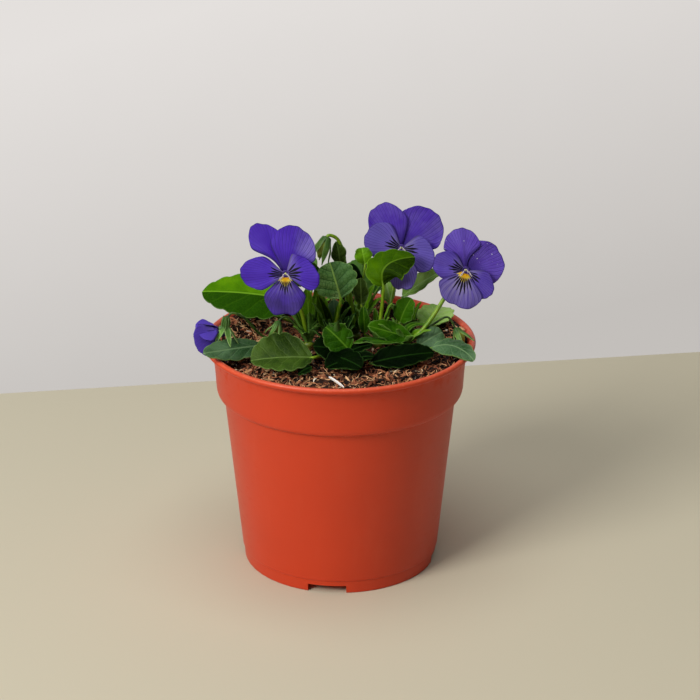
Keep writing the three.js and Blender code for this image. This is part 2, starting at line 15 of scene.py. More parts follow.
import bpy
import numpy as np
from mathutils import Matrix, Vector


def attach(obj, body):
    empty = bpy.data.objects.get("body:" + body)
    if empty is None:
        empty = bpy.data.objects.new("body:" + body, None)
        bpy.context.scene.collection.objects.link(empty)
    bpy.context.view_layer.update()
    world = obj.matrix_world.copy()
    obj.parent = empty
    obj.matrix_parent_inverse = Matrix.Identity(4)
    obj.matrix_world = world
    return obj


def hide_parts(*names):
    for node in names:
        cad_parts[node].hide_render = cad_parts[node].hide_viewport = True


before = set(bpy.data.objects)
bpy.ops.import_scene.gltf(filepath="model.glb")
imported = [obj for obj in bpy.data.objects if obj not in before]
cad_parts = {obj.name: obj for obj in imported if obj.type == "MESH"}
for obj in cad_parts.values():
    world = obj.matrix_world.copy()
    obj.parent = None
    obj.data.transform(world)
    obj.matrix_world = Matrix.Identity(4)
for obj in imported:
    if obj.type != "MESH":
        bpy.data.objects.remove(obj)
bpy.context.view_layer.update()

log = logging.getLogger("potted_viola")

Array = np.ndarray
Point = tuple[float, float, float]
Colour = tuple[float, float, float]
Span = tuple[float, float]
Socket = bpy.types.NodeSocket
Material = bpy.types.Material
Mesh = bpy.types.Mesh
Object = bpy.types.Object
Faces = list[Array]

MM = 0.001
SEED = 41
BODY = "root"

# Sizes that the part has too
SOIL_HEIGHT = 86.0
CROWN_HEIGHT = SOIL_HEIGHT + 2.4
STEM_RADIUS = 1.5
CROWN_RADIUS = 2.3
PETIOLE_RADIUS = 0.8
STALK_RADIUS = 0.85
HOLE_DEPTH = 9.0
GAP = 0.3
HUB_RADIUS = 1.9
SEPAL_ANGLES = (90.0, 162.0, 18.0, 215.0, -35.0)
RECEPTACLE_LENGTH = 3.6

# How the side veins of a leaf sweep forward: by this share of its length, times the place across
# it to this power. The blade's swelling and its finish follow the same lines.
VEIN_SWEEP = 0.24
VEIN_BEND = 0.8

# Small enough to count as nothing, where a value must stay above it
TINY = 1e-9

# Points of a spline in each span, and sides of round stalks, flower parts, calyces and crowns
SPLINE_STEPS = 12
STALK_SIDES = 12
FLOWER_SIDES = 14
HUB_SIDES = 28
CALYX_SIDES = 20
POST_SIDES = 14

# The sockets for colours of a Mix node
MIX_FIRST, MIX_SECOND, MIX_RESULT = 6, 7, 2


def link(item: Object) -> None:
    """Puts an object in the scene."""
    bpy.context.collection.objects.link(item)


def srgb(red: int, green: int, blue: int) -> Colour:
    """A colour given as it shows on a screen, from 0 to 255, as linear light."""
    shares = np.array([red, green, blue]) / 255
    linear = np.where(shares < 0.04045, shares / 12.92, ((shares + 0.055) / 1.055) ** 2.4)
    return tuple(float(share) for share in linear)


# Arrays and curves


def unit(vectors: Array) -> Array:
    """Vectors at length one: each divided by its own length."""
    return vectors / np.maximum(np.linalg.norm(vectors, axis=-1, keepdims=True), TINY)


def smooth(low: float, high: float, values: Array) -> Array:
    """A smooth step: 0 up to low, 1 from high, and 3x2 - 2x3 of the share x of the way between."""
    share = np.clip((values - low) / (high - low), 0, 1)
    return share * share * (3 - 2 * share)


def around(count: int) -> Array:
    """So many even angles round a circle, in radians."""
    return np.linspace(0, 2 * math.pi, count, endpoint=False)


def curve(start: Array, middle: Array, end: Array, s: Array) -> Array:
    """Points of a quadratic curve: (1 - s)2 start + 2s(1 - s) middle + s2 end."""
    return (1 - s) ** 2 * start + 2 * s * (1 - s) * middle + s * s * end


def bezier(start: Array, middle: Array, end: Array, shares: Array) -> tuple[Array, Array]:
    """A quadratic curve and its direction.

    Args:
        start: First point.
        middle: The point that pulls the curve.
        end: Last point.
        shares: The values of s, from 0 to 1.

    Returns:
        The points on the curve, and its unit direction at each.
    """
    s = shares[..., None]
    direction = unit((1 - s) * (middle - start) + s * (end - middle))
    return curve(start, middle, end, s), direction


def spline(stops: list[Point] | Array, steps: int) -> Array:
    """A smooth line through the stops, a centripetal Catmull-Rom curve.

    Each span is a cubic whose end slopes come from the stops on either side, weighed by the square
    roots of the distances between them. The two ends are mirrored to give the outer stops.

    Args:
        stops: The points that the curve passes through.
        steps: How many points each span is given.

    Returns:
        The points on the curve, shape (spans * steps + 1, 3).
    """
    knots = np.asarray(stops, float)
    knots = np.vstack([2 * knots[0] - knots[1], knots, 2 * knots[-1] - knots[-2]])
    gaps = np.maximum(np.linalg.norm(np.diff(knots, axis=0), axis=1), 1e-4) ** 0.5
    slopes = np.diff(knots, axis=0) / gaps[:, None]
    chords = (knots[2:] - knots[:-2]) / (gaps[1:] + gaps[:-1])[:, None]
    tangents = slopes[:-1] - chords + slopes[1:]
    spans = len(knots) - 3
    x1, x2 = knots[1:-2], knots[2:-1]
    inner = gaps[1:-1, None]
    t1, t2 = tangents[:-1] * inner, tangents[1:] * inner
    s = (np.arange(spans * steps + 1) / steps).clip(0, spans - TINY)
    span = s.astype(int)
    s = (s - span)[:, None]
    cubic = (2 * x1 - 2 * x2 + t1 + t2)[span] * s + (3 * x2 - 3 * x1 - 2 * t1 - t2)[span]
    return x1[span] + t1[span] * s + cubic * s * s


def turning(axis: Array) -> Array:
    """The matrix of the shortest turn that takes +Z to an axis."""
    turn = Vector((0, 0, 1)).rotation_difference(Vector(axis.tolist()))
    return np.array(turn.to_matrix())


def rounded(profile: list[Span], radius: float, steps: int = 4) -> Array:
    """A profile with its inner corners rounded.

    Each corner gives way to a quadratic arc that starts and ends at the radius from it along its
    two sides, or at 45% of the shorter side. The first and last points stay.

    Args:
        profile: The profile's points.
        radius: How far from its corner each arc starts.
        steps: How many parts each arc has.

    Returns:
        The new profile's points, shape (n, 2).
    """
    longest_share = 0.45
    points = np.asarray(profile, float)
    before, corner, after = points[:-2], points[1:-1], points[2:]
    sides = np.minimum(
        np.linalg.norm(before - corner, axis=1), np.linalg.norm(after - corner, axis=1)
    )
    cut = np.minimum(radius, longest_share * sides)[:, None]
    start = corner + unit(before - corner) * cut
    end = corner + unit(after - corner) * cut
    s = np.linspace(0, 1, steps + 1)[None, :, None]
    arcs = curve(start[:, None], corner[:, None], end[:, None], s)
    return np.vstack([points[:1], arcs.reshape(-1, 2), points[-1:]])


# Meshes


class Shape:
    """The points and faces of one piece in millimetres, with named values on its points."""

    def __init__(self) -> None:
        """Starts with no points."""
        self.points: list[Array] = []
        self.faces: Faces = []
        self.values: dict[str, list[Array]] = {}
        self.count = 0

    def add(self, points: Array, faces: Faces, **values: Array | float) -> None:
        """Adds points, faces and values.

        Args:
            points: The points, of any grid shape whose last axis is x, y, z.
            faces: Arrays of corner numbers, each array with one number of corners a face.
            **values: A number for each point, or one for all of them.
        """
        flat = points.reshape(-1, 3)
        self.points.append(flat)
        self.faces += [corners + self.count for corners in faces]
        for name, value in values.items():
            spread = np.broadcast_to(np.asarray(value, float).ravel(), (len(flat),))
            self.values.setdefault(name, []).append(spread)
        self.count += len(flat)

    def mesh(self, name: str) -> Mesh:
        """A mesh in metres, with each named value as an attribute of its points.

        Args:
            name: The mesh's name.

        Returns:
            The mesh, which no object uses yet.
        """
        mesh = bpy.data.meshes.new(name)
        points = np.vstack(self.points) * MM
        corners = np.concatenate([faces.ravel() for faces in self.faces])
        sizes = np.concatenate([np.full(len(faces), faces.shape[1]) for faces in self.faces])
        mesh.vertices.add(len(points))
        mesh.vertices.foreach_set("co", points.ravel())
        mesh.loops.add(len(corners))
        mesh.loops.foreach_set("vertex_index", corners)
        mesh.polygons.add(len(sizes))
        mesh.polygons.foreach_set("loop_start", np.concatenate([[0], np.cumsum(sizes)[:-1]]))
        mesh.update(calc_edges=True)
        mesh.validate()
        for value, parts in self.values.items():
            layer = mesh.attributes.new(value, "FLOAT", "POINT")
            layer.data.foreach_set("value", np.concatenate(parts))
        return mesh


@dataclass
class Piece:
    """A finished piece of the object: its shape, its slot, which nothing reads, and its finish."""

    name: str
    shape: Shape
    finish: "Finish"
    slot: str
    replaces: tuple[str, ...] = ()
    crease: float = 42.0

    def build(self) -> Object:
        """Makes the object, gives it its material and ties it to the part's frame.

        Returns:
            The new object, at the origin, with its place in its mesh.
        """
        return self.dress(self.shape.mesh(self.name))

    def dress(self, mesh: Mesh) -> Object:
        """Makes the object of a mesh that is ready.

        Args:
            mesh: The mesh, with its points and faces.

        Returns:
            The object.
        """
        mesh.polygons.foreach_set("use_smooth", np.ones(len(mesh.polygons), bool))
        mesh.set_sharp_from_angle(angle=math.radians(self.crease))
        piece = bpy.data.objects.new(self.name, mesh)
        link(piece)
        mesh.materials.clear()
        mesh.materials.append(self.finish.material())
        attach(piece, BODY)
        if self.replaces:
            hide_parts(*self.replaces)
        log.info("%s: %d faces", self.name, len(mesh.polygons))
        return piece


def patch(rows: int, columns: int, wrap: bool = False) -> Array:
    """The faces of a grid of points, which look along (down the rows) x (along the columns).

    Args:
        rows: Rows of points.
        columns: Points in each row.
        wrap: Whether the last column joins the first.

    Returns:
        Four corners for each face.
    """
    index = np.arange(rows * columns).reshape(rows, columns)
    if wrap:
        index = np.hstack([index, index[:, :1]])
    corners = index[:-1, :-1], index[1:, :-1], index[1:, 1:], index[:-1, 1:]
    return np.stack(corners, -1).reshape(-1, 4)


def ring_tube(rings: Array) -> tuple[Array, Faces]:
    """A closed tube of rings, shape (rings, sides, 3), each anticlockwise seen from the end.

    Args:
        rings: The points.

    Returns:
        The points, and the faces with a cap on each end.
    """
    count, sides = rings.shape[:2]
    walls = patch(count, sides, wrap=True)[:, ::-1]
    first = np.arange(sides)[None, ::-1]
    last = np.arange(sides)[None] + (count - 1) * sides
    return rings, [walls, first, last]


def tube(
    path: Array, radius: Array | float, sides: int = 10, flat: float = 1.0
) -> tuple[Array, Faces]:
    """A round stalk along a path.

    The path's direction of least spread gives each ring its first side, so that no ring is twisted
    against the next: side = direction x least, other = direction x side, and each ring is
    path + radius (cos a side + flat sin a other), with a the angle round it.

    Args:
        path: Points along the middle, shape (n, 3).
        radius: The radius at each point.
        sides: Corners of each ring.
        flat: How far the ring is squeezed along its second side.

    Returns:
        The points, shape (n, sides, 3), and the faces.
    """
    along = unit(np.gradient(path, axis=0))
    plane = np.linalg.svd(path - path.mean(0), full_matrices=True)[2][-1]
    side = unit(np.cross(along, plane))
    other = np.cross(along, side)
    turns = around(sides)[None, :, None]
    width = np.broadcast_to(np.asarray(radius, float), len(path))[:, None, None]
    rings = np.cos(turns) * side[:, None] + flat * np.sin(turns) * other[:, None]
    return ring_tube(path[:, None] + width * rings)


def blade(middle: Array, half: Array) -> tuple[Array, Faces]:
    """A thin closed blade: the middle surface moved both ways along its normals, with a rim.

    Args:
        middle: The middle surface, shape (rows, columns, 3).
        half: Half the thickness at each of its points.

    Returns:
        The points of the upper face and then of the lower one, and the faces.
    """
    normal = unit(np.cross(np.gradient(middle, axis=0), np.gradient(middle, axis=1)))
    offset = normal * half[..., None]
    rows, columns = half.shape
    upper = patch(rows, columns)
    size = rows * columns
    index = np.arange(size).reshape(rows, columns)
    rim = np.concatenate([index[0], index[1:, -1], index[-1, -2::-1], index[-2:0:-1, 0]])
    after = np.roll(rim, -1)
    edge = np.stack([rim, after, after + size, rim + size], -1)
    return np.stack([middle + offset, middle - offset]), [upper, upper[:, ::-1] + size, edge]


def both_faces(values: dict[str, Array]) -> dict[str, Array]:
    """Each value twice, for the upper and the lower face of a blade."""
    return {name: np.stack([value, value]) for name, value in values.items()}


def lattice(rows: int, columns: int, start: float = 0.0) -> tuple[Array, Array]:
    """Shares along a blade, from the start to 1, and places across it, from -1 to 1."""
    along = np.linspace(start, 1, rows)[:, None] * np.ones(columns)
    return along, np.linspace(-1, 1, columns)[None] * np.ones((rows, 1))


def fanned(out: Array, across: Array, height: Array, turn: float) -> Array:
    """Points so far out and so far across, turned round the Z axis by an angle in radians."""
    return np.stack([
        out * math.cos(turn) - across * math.sin(turn),
        out * math.sin(turn) + across * math.cos(turn),
        height,
    ], axis=-1)


def repeated(tubes: Array) -> Faces:
    """The faces of many closed tubes, whose points have shape (count, rings, sides, 3)."""
    count, rings, sides = tubes.shape[:3]
    step = (np.arange(count) * rings * sides)[:, None, None]
    return [(corners[None] + step).reshape(-1, 4) for corners in ring_tube(tubes[0])[1]]


def lathe(profile: Array, sides: int) -> tuple[Array, Faces]:
    """A profile of radius and height turned round the Z axis, from its foot up.

    Args:
        profile: Rows of radius and height. A first or last row on the axis is left to a flat cap.
        sides: Points round the axis.

    Returns:
        The rings, shape (rows, sides, 3), and the faces with a cap on each end.
    """
    rows = profile[profile[:, 0] > 1e-6]
    turns = around(sides)[None]
    radius, height = rows[:, :1], rows[:, 1:]
    rings = np.stack(
        [radius * np.cos(turns), radius * np.sin(turns), height + 0 * turns], axis=-1
    )
    return ring_tube(rings)


# Shader graphs


class Value:
    """A number that varies over a surface. Arithmetic on it adds the nodes that work it out."""

    def __init__(self, graph: "Graph", socket: Socket) -> None:
        """Wraps a socket of a graph."""
        self.graph = graph
        self.socket = socket

    def __add__(self, other: "Value | float") -> "Value":
        """This plus other."""
        return self.graph.maths("ADD", self, other)

    __radd__ = __add__

    def __sub__(self, other: "Value | float") -> "Value":
        """This minus other."""
        return self.graph.maths("SUBTRACT", self, other)

    def __rsub__(self, other: "Value | float") -> "Value":
        """Other minus this."""
        return self.graph.maths("SUBTRACT", other, self)

    def __mul__(self, other: "Value | float") -> "Value":
        """This times other."""
        return self.graph.maths("MULTIPLY", self, other)

    __rmul__ = __mul__

    def __truediv__(self, other: "Value | float") -> "Value":
        """This over other."""
        return self.graph.maths("DIVIDE", self, other)

    def __pow__(self, other: "Value | float") -> "Value":
        """This to a power."""
        return self.graph.maths("POWER", self, other)

    def __abs__(self) -> "Value":
        """This without its sign."""
        return self.graph.maths("ABSOLUTE", self)

    def fraction(self) -> "Value":
        """What is left of this after its whole part."""
        return self.graph.maths("FRACT", self)

    def whole(self) -> "Value":
        """The whole part of this."""
        return self.graph.maths("FLOOR", self)

    def sine(self) -> "Value":
        """The sine of this, in radians."""
        return self.graph.maths("SINE", self)

    def least(self, other: "Value | float") -> "Value":
        """The smaller of this and other."""
        return self.graph.maths("MINIMUM", self, other)

    def most(self, other: "Value | float") -> "Value":
        """The larger of this and other."""
        return self.graph.maths("MAXIMUM", self, other)

    def step(self, low: float, high: float) -> "Value":
        """A smooth step of this: 0 at low and 1 at high, whichever of the two is the larger.

        Args:
            low: Where the step is 0.
            high: Where the step is 1.

        Returns:
            The step.
        """
        rising = low < high
        first, last = (low, high) if rising else (high, low)
        ends = (0.0, 1.0) if rising else (1.0, 0.0)
        settings = {"interpolation_type": "SMOOTHSTEP"}
        inputs = {0: self, 1: first, 2: last, 3: ends[0], 4: ends[1]}
        return Value(self.graph, self.graph.node("ShaderNodeMapRange", settings, inputs).outputs[0])


class Graph:
    """The node tree of one material, and the few kinds of node that the finishes use."""

    def __init__(self, name: str) -> None:
        """Makes a material with an empty tree."""
        self.material = bpy.data.materials.new(name)
        self.material.use_nodes = True
        self.tree = self.material.node_tree
        self.tree.nodes.clear()
        self.place = self.node("ShaderNodeTexCoord").outputs["Object"]

    def node(
        self, kind: str, settings: dict | None = None, inputs: dict | None = None
    ) -> bpy.types.Node:
        """Adds a node.

        Args:
            kind: The node's type.
            settings: Its own properties, which are set first.
            inputs: A value, a socket or a Value for each input, by number or name.

        Returns:
            The new node.
        """
        node = self.tree.nodes.new(kind)
        for key, setting in (settings or {}).items():
            setattr(node, key, setting)
        for key, value in (inputs or {}).items():
            value = value.socket if isinstance(value, Value) else value
            if isinstance(value, Socket):
                self.tree.links.new(value, node.inputs[key])
            else:
                entry = node.inputs[key]
                entry.default_value = (*value, 1) if entry.type == "RGBA" else value
        return node

    def maths(self, operation: str, *terms: Value | float) -> Value:
        """The result of a Math node."""
        node = self.node("ShaderNodeMath", {"operation": operation}, dict(enumerate(terms)))
        return Value(self, node.outputs[0])

    def attribute(self, name: str) -> Value:
        """A named value on the points of the piece."""
        node = self.node("ShaderNodeAttribute", {"attribute_name": name})
        return Value(self, node.outputs["Fac"])

    def height(self) -> Value:
        """The Z coordinate in metres."""
        node = self.node("ShaderNodeSeparateXYZ", inputs={0: self.place})
        return Value(self, node.outputs["Z"])

    def stretched(self, scale: Point) -> Socket:
        """Object coordinates with each axis scaled."""
        node = self.node("ShaderNodeMapping", inputs={0: self.place})
        node.inputs["Scale"].default_value = scale
        return node.outputs[0]

    def joined(self, x: Value | float, y: Value | float, z: Value | float) -> Socket:
        """Three values as one vector."""
        return self.node("ShaderNodeCombineXYZ", inputs={0: x, 1: y, 2: z}).outputs[0]

    def noise(
        self, size: float, detail: float = 2.0, rough: float = 0.5, at: Socket | None = None
    ) -> Value:
        """Soft noise from 0 to 1, whose features are about size millimetres across.

        Args:
            size: Millimetres across a feature.
            detail: Finer layers that are added.
            rough: The strength of the finer layers.
            at: Coordinates other than the object's own.

        Returns:
            The noise.
        """
        inputs = {
            "Vector": at or self.place, "Scale": 1 / (size * MM),
            "Detail": detail, "Roughness": rough,
        }
        node = self.node("ShaderNodeTexNoise", {"noise_dimensions": "3D"}, inputs)
        return Value(self, node.outputs["Fac"])

    def cells(self, size: float, at: Socket | None = None) -> Value:
        """The distance to the edge of a net of cells about size millimetres across."""
        inputs = {"Vector": at or self.place, "Scale": 1 / (size * MM)}
        node = self.node("ShaderNodeTexVoronoi", {"feature": "DISTANCE_TO_EDGE"}, inputs)
        return Value(self, node.outputs["Distance"])

    def mix(
        self, share: Value | float, first: Colour | Socket, second: Colour | Socket
    ) -> Socket:
        """A colour that goes from first to second as share goes from 0 to 1."""
        settings = {"data_type": "RGBA", "clamp_factor": True}
        inputs = {0: share, MIX_FIRST: first, MIX_SECOND: second}
        return self.node("ShaderNodeMix", settings, inputs).outputs[MIX_RESULT]

    def ramp(self, share: Value, stops: list[tuple[float, Colour]]) -> Socket:
        """A colour from a ramp, whose stops are places from 0 to 1 and colours.

        Args:
            share: The place on the ramp.
            stops: Places with their colours.

        Returns:
            The colour.
        """
        node = self.node("ShaderNodeValToRGB", inputs={0: share})
        elements = node.color_ramp.elements
        while len(elements) < len(stops):
            elements.new(0.5)
        for element, (place, colour) in zip(elements, stops):
            element.position = place
            element.color = (*colour, 1)
        return node.outputs[0]

    def bump(self, height: Value, depth: float) -> Socket:
        """Normals tipped by a height from 0 to 1, which stands for depth millimetres."""
        inputs = {"Height": height, "Distance": depth * MM, "Strength": 1.0}
        return self.node("ShaderNodeBump", inputs=inputs).outputs[0]

    def surface(self, **inputs: object) -> Material:
        """Ends the graph in a Principled surface.

        Args:
            **inputs: The shader's inputs, with underscores for the spaces in their names.

        Returns:
            The material.
        """
        named = {name.replace("_", " "): value for name, value in inputs.items()}
        shader = self.node("ShaderNodeBsdfPrincipled", inputs=named)
        self.node("ShaderNodeOutputMaterial", inputs={0: shader.outputs[0]})
        return self.material


# Finishes


class Finish:
    """A finish that makes its material once, under its own title."""

    title: str

    def make(self, graph: Graph) -> Material:
        """Makes the material, each kind of finish in its own way.

        Args:
            graph: The graph of the material, which is still empty.

        Returns:
            The material.
        """
        raise NotImplementedError

    def material(self) -> Material:
        """The material of this finish, made at its first use."""
        found = bpy.data.materials.get(self.title)
        return found or self.make(Graph(self.title))


@dataclass(frozen=True)
class PotFinish(Finish):
    """Satin terracotta-coloured polypropylene with a fine moulded grain."""

    title: str = "pot_plastic"
    body: Colour = (0.64, 0.05, 0.0115)
    cloud: Colour = srgb(182, 52, 24)
    # The paler colour of worn streaks, and of the lip top, where it is partly wear and partly a
    # painted highlight
    worn_and_highlight: Colour = srgb(232, 112, 78)
    dust: Colour = srgb(120, 72, 48)
    lip: Span = (89.9, 90.5)
    dust_from: Span = (80, 86)
    dust_to: Span = (90.8, 88)

    def make(self, graph: Graph) -> Material:
        """Plain colour with faint clouds, a paler lip top that is partly wear and partly a painted
        highlight, and a little soil dust under the inner edge.

        The lip and the dust start and end between heights in millimetres.

        Args:
            graph: The material's empty graph.

        Returns:
            The material.
        """
        height = graph.height() / MM
        clouds = graph.noise(26, 3)
        streaks = graph.noise(7, 3, at=graph.stretched((1, 1, 0.22)))
        colour = graph.mix((clouds - 0.5) * 0.5 + 0.12, self.body, self.cloud)
        colour = graph.mix((streaks - 0.58).most(0) * 0.3, colour, self.worn_and_highlight)
        speckle = graph.noise(1.3, 3).step(0.52, 0.68)
        # The lip top is paler: partly wear, partly a painted highlight
        colour = graph.mix(height.step(*self.lip) * (0.4 + speckle * 0.3), colour, self.worn_and_highlight)
        dust = graph.noise(3.2, 4).step(0.5, 0.72)
        dust = dust * height.step(*self.dust_from) * height.step(*self.dust_to)
        colour = graph.mix(dust * graph.attribute("inside") * 0.75, colour, self.dust)
        grain = graph.noise(0.45, 2)
        scuffs = graph.noise(5, 4, at=graph.stretched((1, 1, 4))).step(0.55, 0.75)
        rough = 0.36 + clouds * 0.08 + scuffs * 0.08 + dust * 0.3
        normal = graph.bump(grain * 0.5 + streaks * 0.5 + scuffs * 0.2, 0.018)
        return graph.surface(
            Base_Color=colour, Roughness=rough, Normal=normal, Specular_IOR_Level=0.36, IOR=1.49,
            Subsurface_Weight=0.04, Subsurface_Radius=(1.0, 0.35, 0.2), Subsurface_Scale=0.8 * MM,
        )


@dataclass(frozen=True)
class SoilFinish(Finish):
    """Dark damp soil under the loose chips."""

    title: str = "soil_bed"
    dark: Colour = srgb(12, 7, 5)
    middle: Colour = srgb(34, 19, 14)
    red: Colour = srgb(76, 43, 30)

    def make(self, graph: Graph) -> Material:
        """Two sizes of noise from black-brown to red-brown, with a deep bump.

        Args:
            graph: The material's empty graph.

        Returns:
            The material.
        """
        lumps = graph.noise(2.2, 4, 0.62)
        grains = graph.noise(0.8, 3, 0.6)
        shade = lumps * 0.6 + grains * 0.4
        colour = graph.ramp(shade, [(0.3, self.dark), (0.52, self.middle), (0.7, self.red)])
        return graph.surface(
            Base_Color=colour, Roughness=0.93 - grains * 0.1, Normal=graph.bump(shade, 0.9),
            Specular_IOR_Level=0.25,
        )


class ChipKind(Enum):
    """The kinds of loose chips in the soil, with their darkest, middle and lightest colours."""

    PEAT = (srgb(12, 7, 5), srgb(34, 19, 14), srgb(70, 40, 28))
    BARK = (srgb(48, 25, 17), srgb(128, 72, 47), srgb(186, 118, 82))
    COIR = (srgb(160, 98, 64), srgb(210, 146, 100), srgb(238, 192, 142))
    PALE = (srgb(206, 178, 138), srgb(234, 216, 182), srgb(250, 242, 224))


@dataclass(frozen=True)
class ChipFinish(Finish):
    """Loose chips of one kind, each with its own shade."""

    title: str
    kind: ChipKind

    def make(self, graph: Graph) -> Material:
        """A ramp through the kind's three colours by each chip's own shade and a fibrous noise.

        Args:
            graph: The material's empty graph.

        Returns:
            The material.
        """
        fibre = graph.noise(0.5, 3, 0.6)
        shade = graph.attribute("shade") * 0.75 + fibre * 0.45 - 0.1
        dark, middle, light = self.kind.value
        colour = graph.ramp(shade, [(0.05, dark), (0.5, middle), (0.95, light)])
        return graph.surface(
            Base_Color=colour, Roughness=0.82 + fibre * 0.1, Normal=graph.bump(fibre, 0.12),
            Specular_IOR_Level=0.3,
        )


@dataclass(frozen=True)
class LeafFinish(Finish):
    """A soft green leaf blade with sunken veins and a paler margin.

    Bright and deep are its two greens, rib is the midrib's colour, and under is the colour of its
    back. A blade whose halves face the light differently has its shaded colour on one side of the
    midrib: the side is 1 or -1.
    """

    title: str
    bright: Colour
    deep: Colour
    vein: Colour
    rib: Colour | None = None
    edge: Colour = srgb(132, 164, 84)
    under: Colour = srgb(92, 132, 60)
    shaded: Colour | None = None
    side: float = 1.0
    vein_strength: float = 0.5
    net: float = 0.35
    margin: float = 0.5
    pairs: float = 5.0
    gloss: float = 0.42
    shine: float = 0.2
    net_size: float = 1.5
    fine_net_size: float = 0.55

    def make(self, graph: Graph) -> Material:
        """Side veins leave the midrib in pairs and bend forward, over a coarse and a fine net.

        Args:
            graph: The material's empty graph.

        Returns:
            The material.
        """
        along, across = graph.attribute("along"), graph.attribute("across")
        rib, rim, back = graph.attribute("rib"), graph.attribute("rim"), graph.attribute("back")
        wander = graph.noise(4, 2)
        clouds = graph.noise(9, 3)
        sweep = abs(across) ** VEIN_BEND * VEIN_SWEEP
        phase = (along - sweep + (wander - 0.5) * 0.07) * self.pairs
        beside = abs(phase.fraction() - 0.5)
        laterals = beside.step(0.40, 0.5) * abs(across).step(1.0, 0.7) * rib.step(0.1, 0.6)
        midrib = (rib * (1 + along * 0.9)).step(0.72, 0.22)
        twisted = graph.node("ShaderNodeVectorMath", {"operation": "ADD"}, {
            0: graph.place, 1: graph.joined(wander * MM, clouds * MM, wander * MM),
        }).outputs[0]
        net = graph.cells(self.net_size, twisted).step(0.11, 0.0)
        fine = graph.cells(self.fine_net_size, twisted).step(0.12, 0.0)
        colour = graph.mix(clouds.step(0.3, 0.7), self.deep, self.bright)
        if self.shaded:
            colour = graph.mix((across * self.side).step(0.12, -0.08), colour, self.shaded)
        colour = graph.mix(fine * 0.12 + net * self.net, colour, self.vein)
        colour = graph.mix(laterals * self.vein_strength, colour, self.vein)
        colour = graph.mix(midrib * 0.85, colour, self.rib or self.vein)
        colour = graph.mix(rim.step(0.45, 0.1) * self.margin, colour, self.edge)
        colour = graph.mix(back * 0.75, colour, self.under)
        relief = 0.6 - laterals * 0.35 - net * 0.2 - fine * 0.06 - midrib * 0.4
        normal = graph.bump(relief + graph.noise(0.4, 2) * 0.08, 0.22)
        return graph.surface(
            Base_Color=colour, Roughness=self.gloss + clouds * 0.12 + back * 0.15, Normal=normal,
            Specular_IOR_Level=self.shine, Subsurface_Weight=0.1, Subsurface_Radius=(0.5, 1.0, 0.2),
            Subsurface_Scale=0.6 * MM,
        )


@dataclass(frozen=True)
class StalkFinish(Finish):
    """Juicy yellow-green stalks, paler and ribbed along their length."""

    title: str = "stalk"
    light: Colour = srgb(146, 178, 34)
    green: Colour = srgb(88, 134, 14)
    foot: Colour = srgb(96, 82, 46)
    foot_fade: Span = (92, 86)

    def make(self, graph: Graph) -> Material:
        """Streaks along the stalk, darker and a little reddish at the foot.

        Args:
            graph: The material's empty graph.

        Returns:
            The material.
        """
        streaks = graph.noise(1.6, 3, at=graph.stretched((1, 1, 0.16)))
        colour = graph.mix(streaks.step(0.3, 0.7), self.green, self.light)
        height = graph.height() / MM
        colour = graph.mix(height.step(*self.foot_fade) * 0.7, colour, self.foot)
        return graph.surface(
            Base_Color=colour, Roughness=0.36 + streaks * 0.15, Normal=graph.bump(streaks, 0.08),
            Specular_IOR_Level=0.5, Subsurface_Weight=0.2, Subsurface_Radius=(0.7, 1.0, 0.25),
            Subsurface_Scale=0.9 * MM,
        )


@dataclass(frozen=True)
class SepalFinish(Finish):
    """Green sepals with pale margins and a few lengthwise veins."""

    title: str = "sepal"
    green: Colour = srgb(74, 124, 34)
    light: Colour = srgb(112, 160, 62)
    pale: Colour = srgb(160, 196, 118)
    base: Colour = srgb(36, 78, 6)

    def make(self, graph: Graph) -> Material:
        """Pale on both edges and along its veins, and deeper green near the stalk.

        Args:
            graph: The material's empty graph.

        Returns:
            The material.
        """
        across, along = graph.attribute("across"), graph.attribute("along")
        stripes = abs((across * 2.0).fraction() - 0.5).step(0.36, 0.5)
        edge = abs(across).step(0.62, 0.95)
        clouds = graph.noise(2.4, 2)
        colour = graph.mix(clouds.step(0.35, 0.7), self.green, self.light)
        colour = graph.mix((stripes * 0.35).most(edge * 0.85), colour, self.pale)
        colour = graph.mix(along.step(0.45, 0.05) * 0.75, colour, self.base)
        return graph.surface(
            Base_Color=colour, Roughness=0.44 + clouds * 0.1, Normal=graph.bump(stripes, 0.06),
            Specular_IOR_Level=0.45, Subsurface_Weight=0.12, Subsurface_Radius=(0.5, 1.0, 0.3),
            Subsurface_Scale=0.6 * MM,
        )


@dataclass(frozen=True)
class BudFinish(Finish):
    """A young bud: yellow-green, green at its base, with a violet flush at its tip."""

    title: str = "bud"
    green: Colour = srgb(150, 172, 44)
    yellow: Colour = srgb(198, 208, 96)
    flush: Colour = srgb(88, 74, 150)
    base: Colour = srgb(48, 92, 10)

    def make(self, graph: Graph) -> Material:
        """Folds run along it, and the first violet of the furled petals shows at the tip.

        Args:
            graph: The material's empty graph.

        Returns:
            The material.
        """
        along = graph.attribute("along")
        folds = graph.noise(1.2, 2, at=graph.stretched((1, 1, 0.3)))
        colour = graph.mix(folds, self.green, self.yellow)
        colour = graph.mix(along.step(0.9, 1.0) * 0.2, colour, self.flush)
        colour = graph.mix(along.step(0.35, 0.1), colour, self.base)
        return graph.surface(
            Base_Color=colour, Roughness=0.45 + folds * 0.1, Normal=graph.bump(folds, 0.1),
            Specular_IOR_Level=0.4, Subsurface_Weight=0.2, Subsurface_Radius=(0.6, 1.0, 0.3),
            Subsurface_Scale=0.7 * MM,
        )


class PetalKind(Enum):
    """The three kinds of petal in a violet's flower."""

    UPPER = "upper"
    SIDE = "side"
    LOWER = "lower"


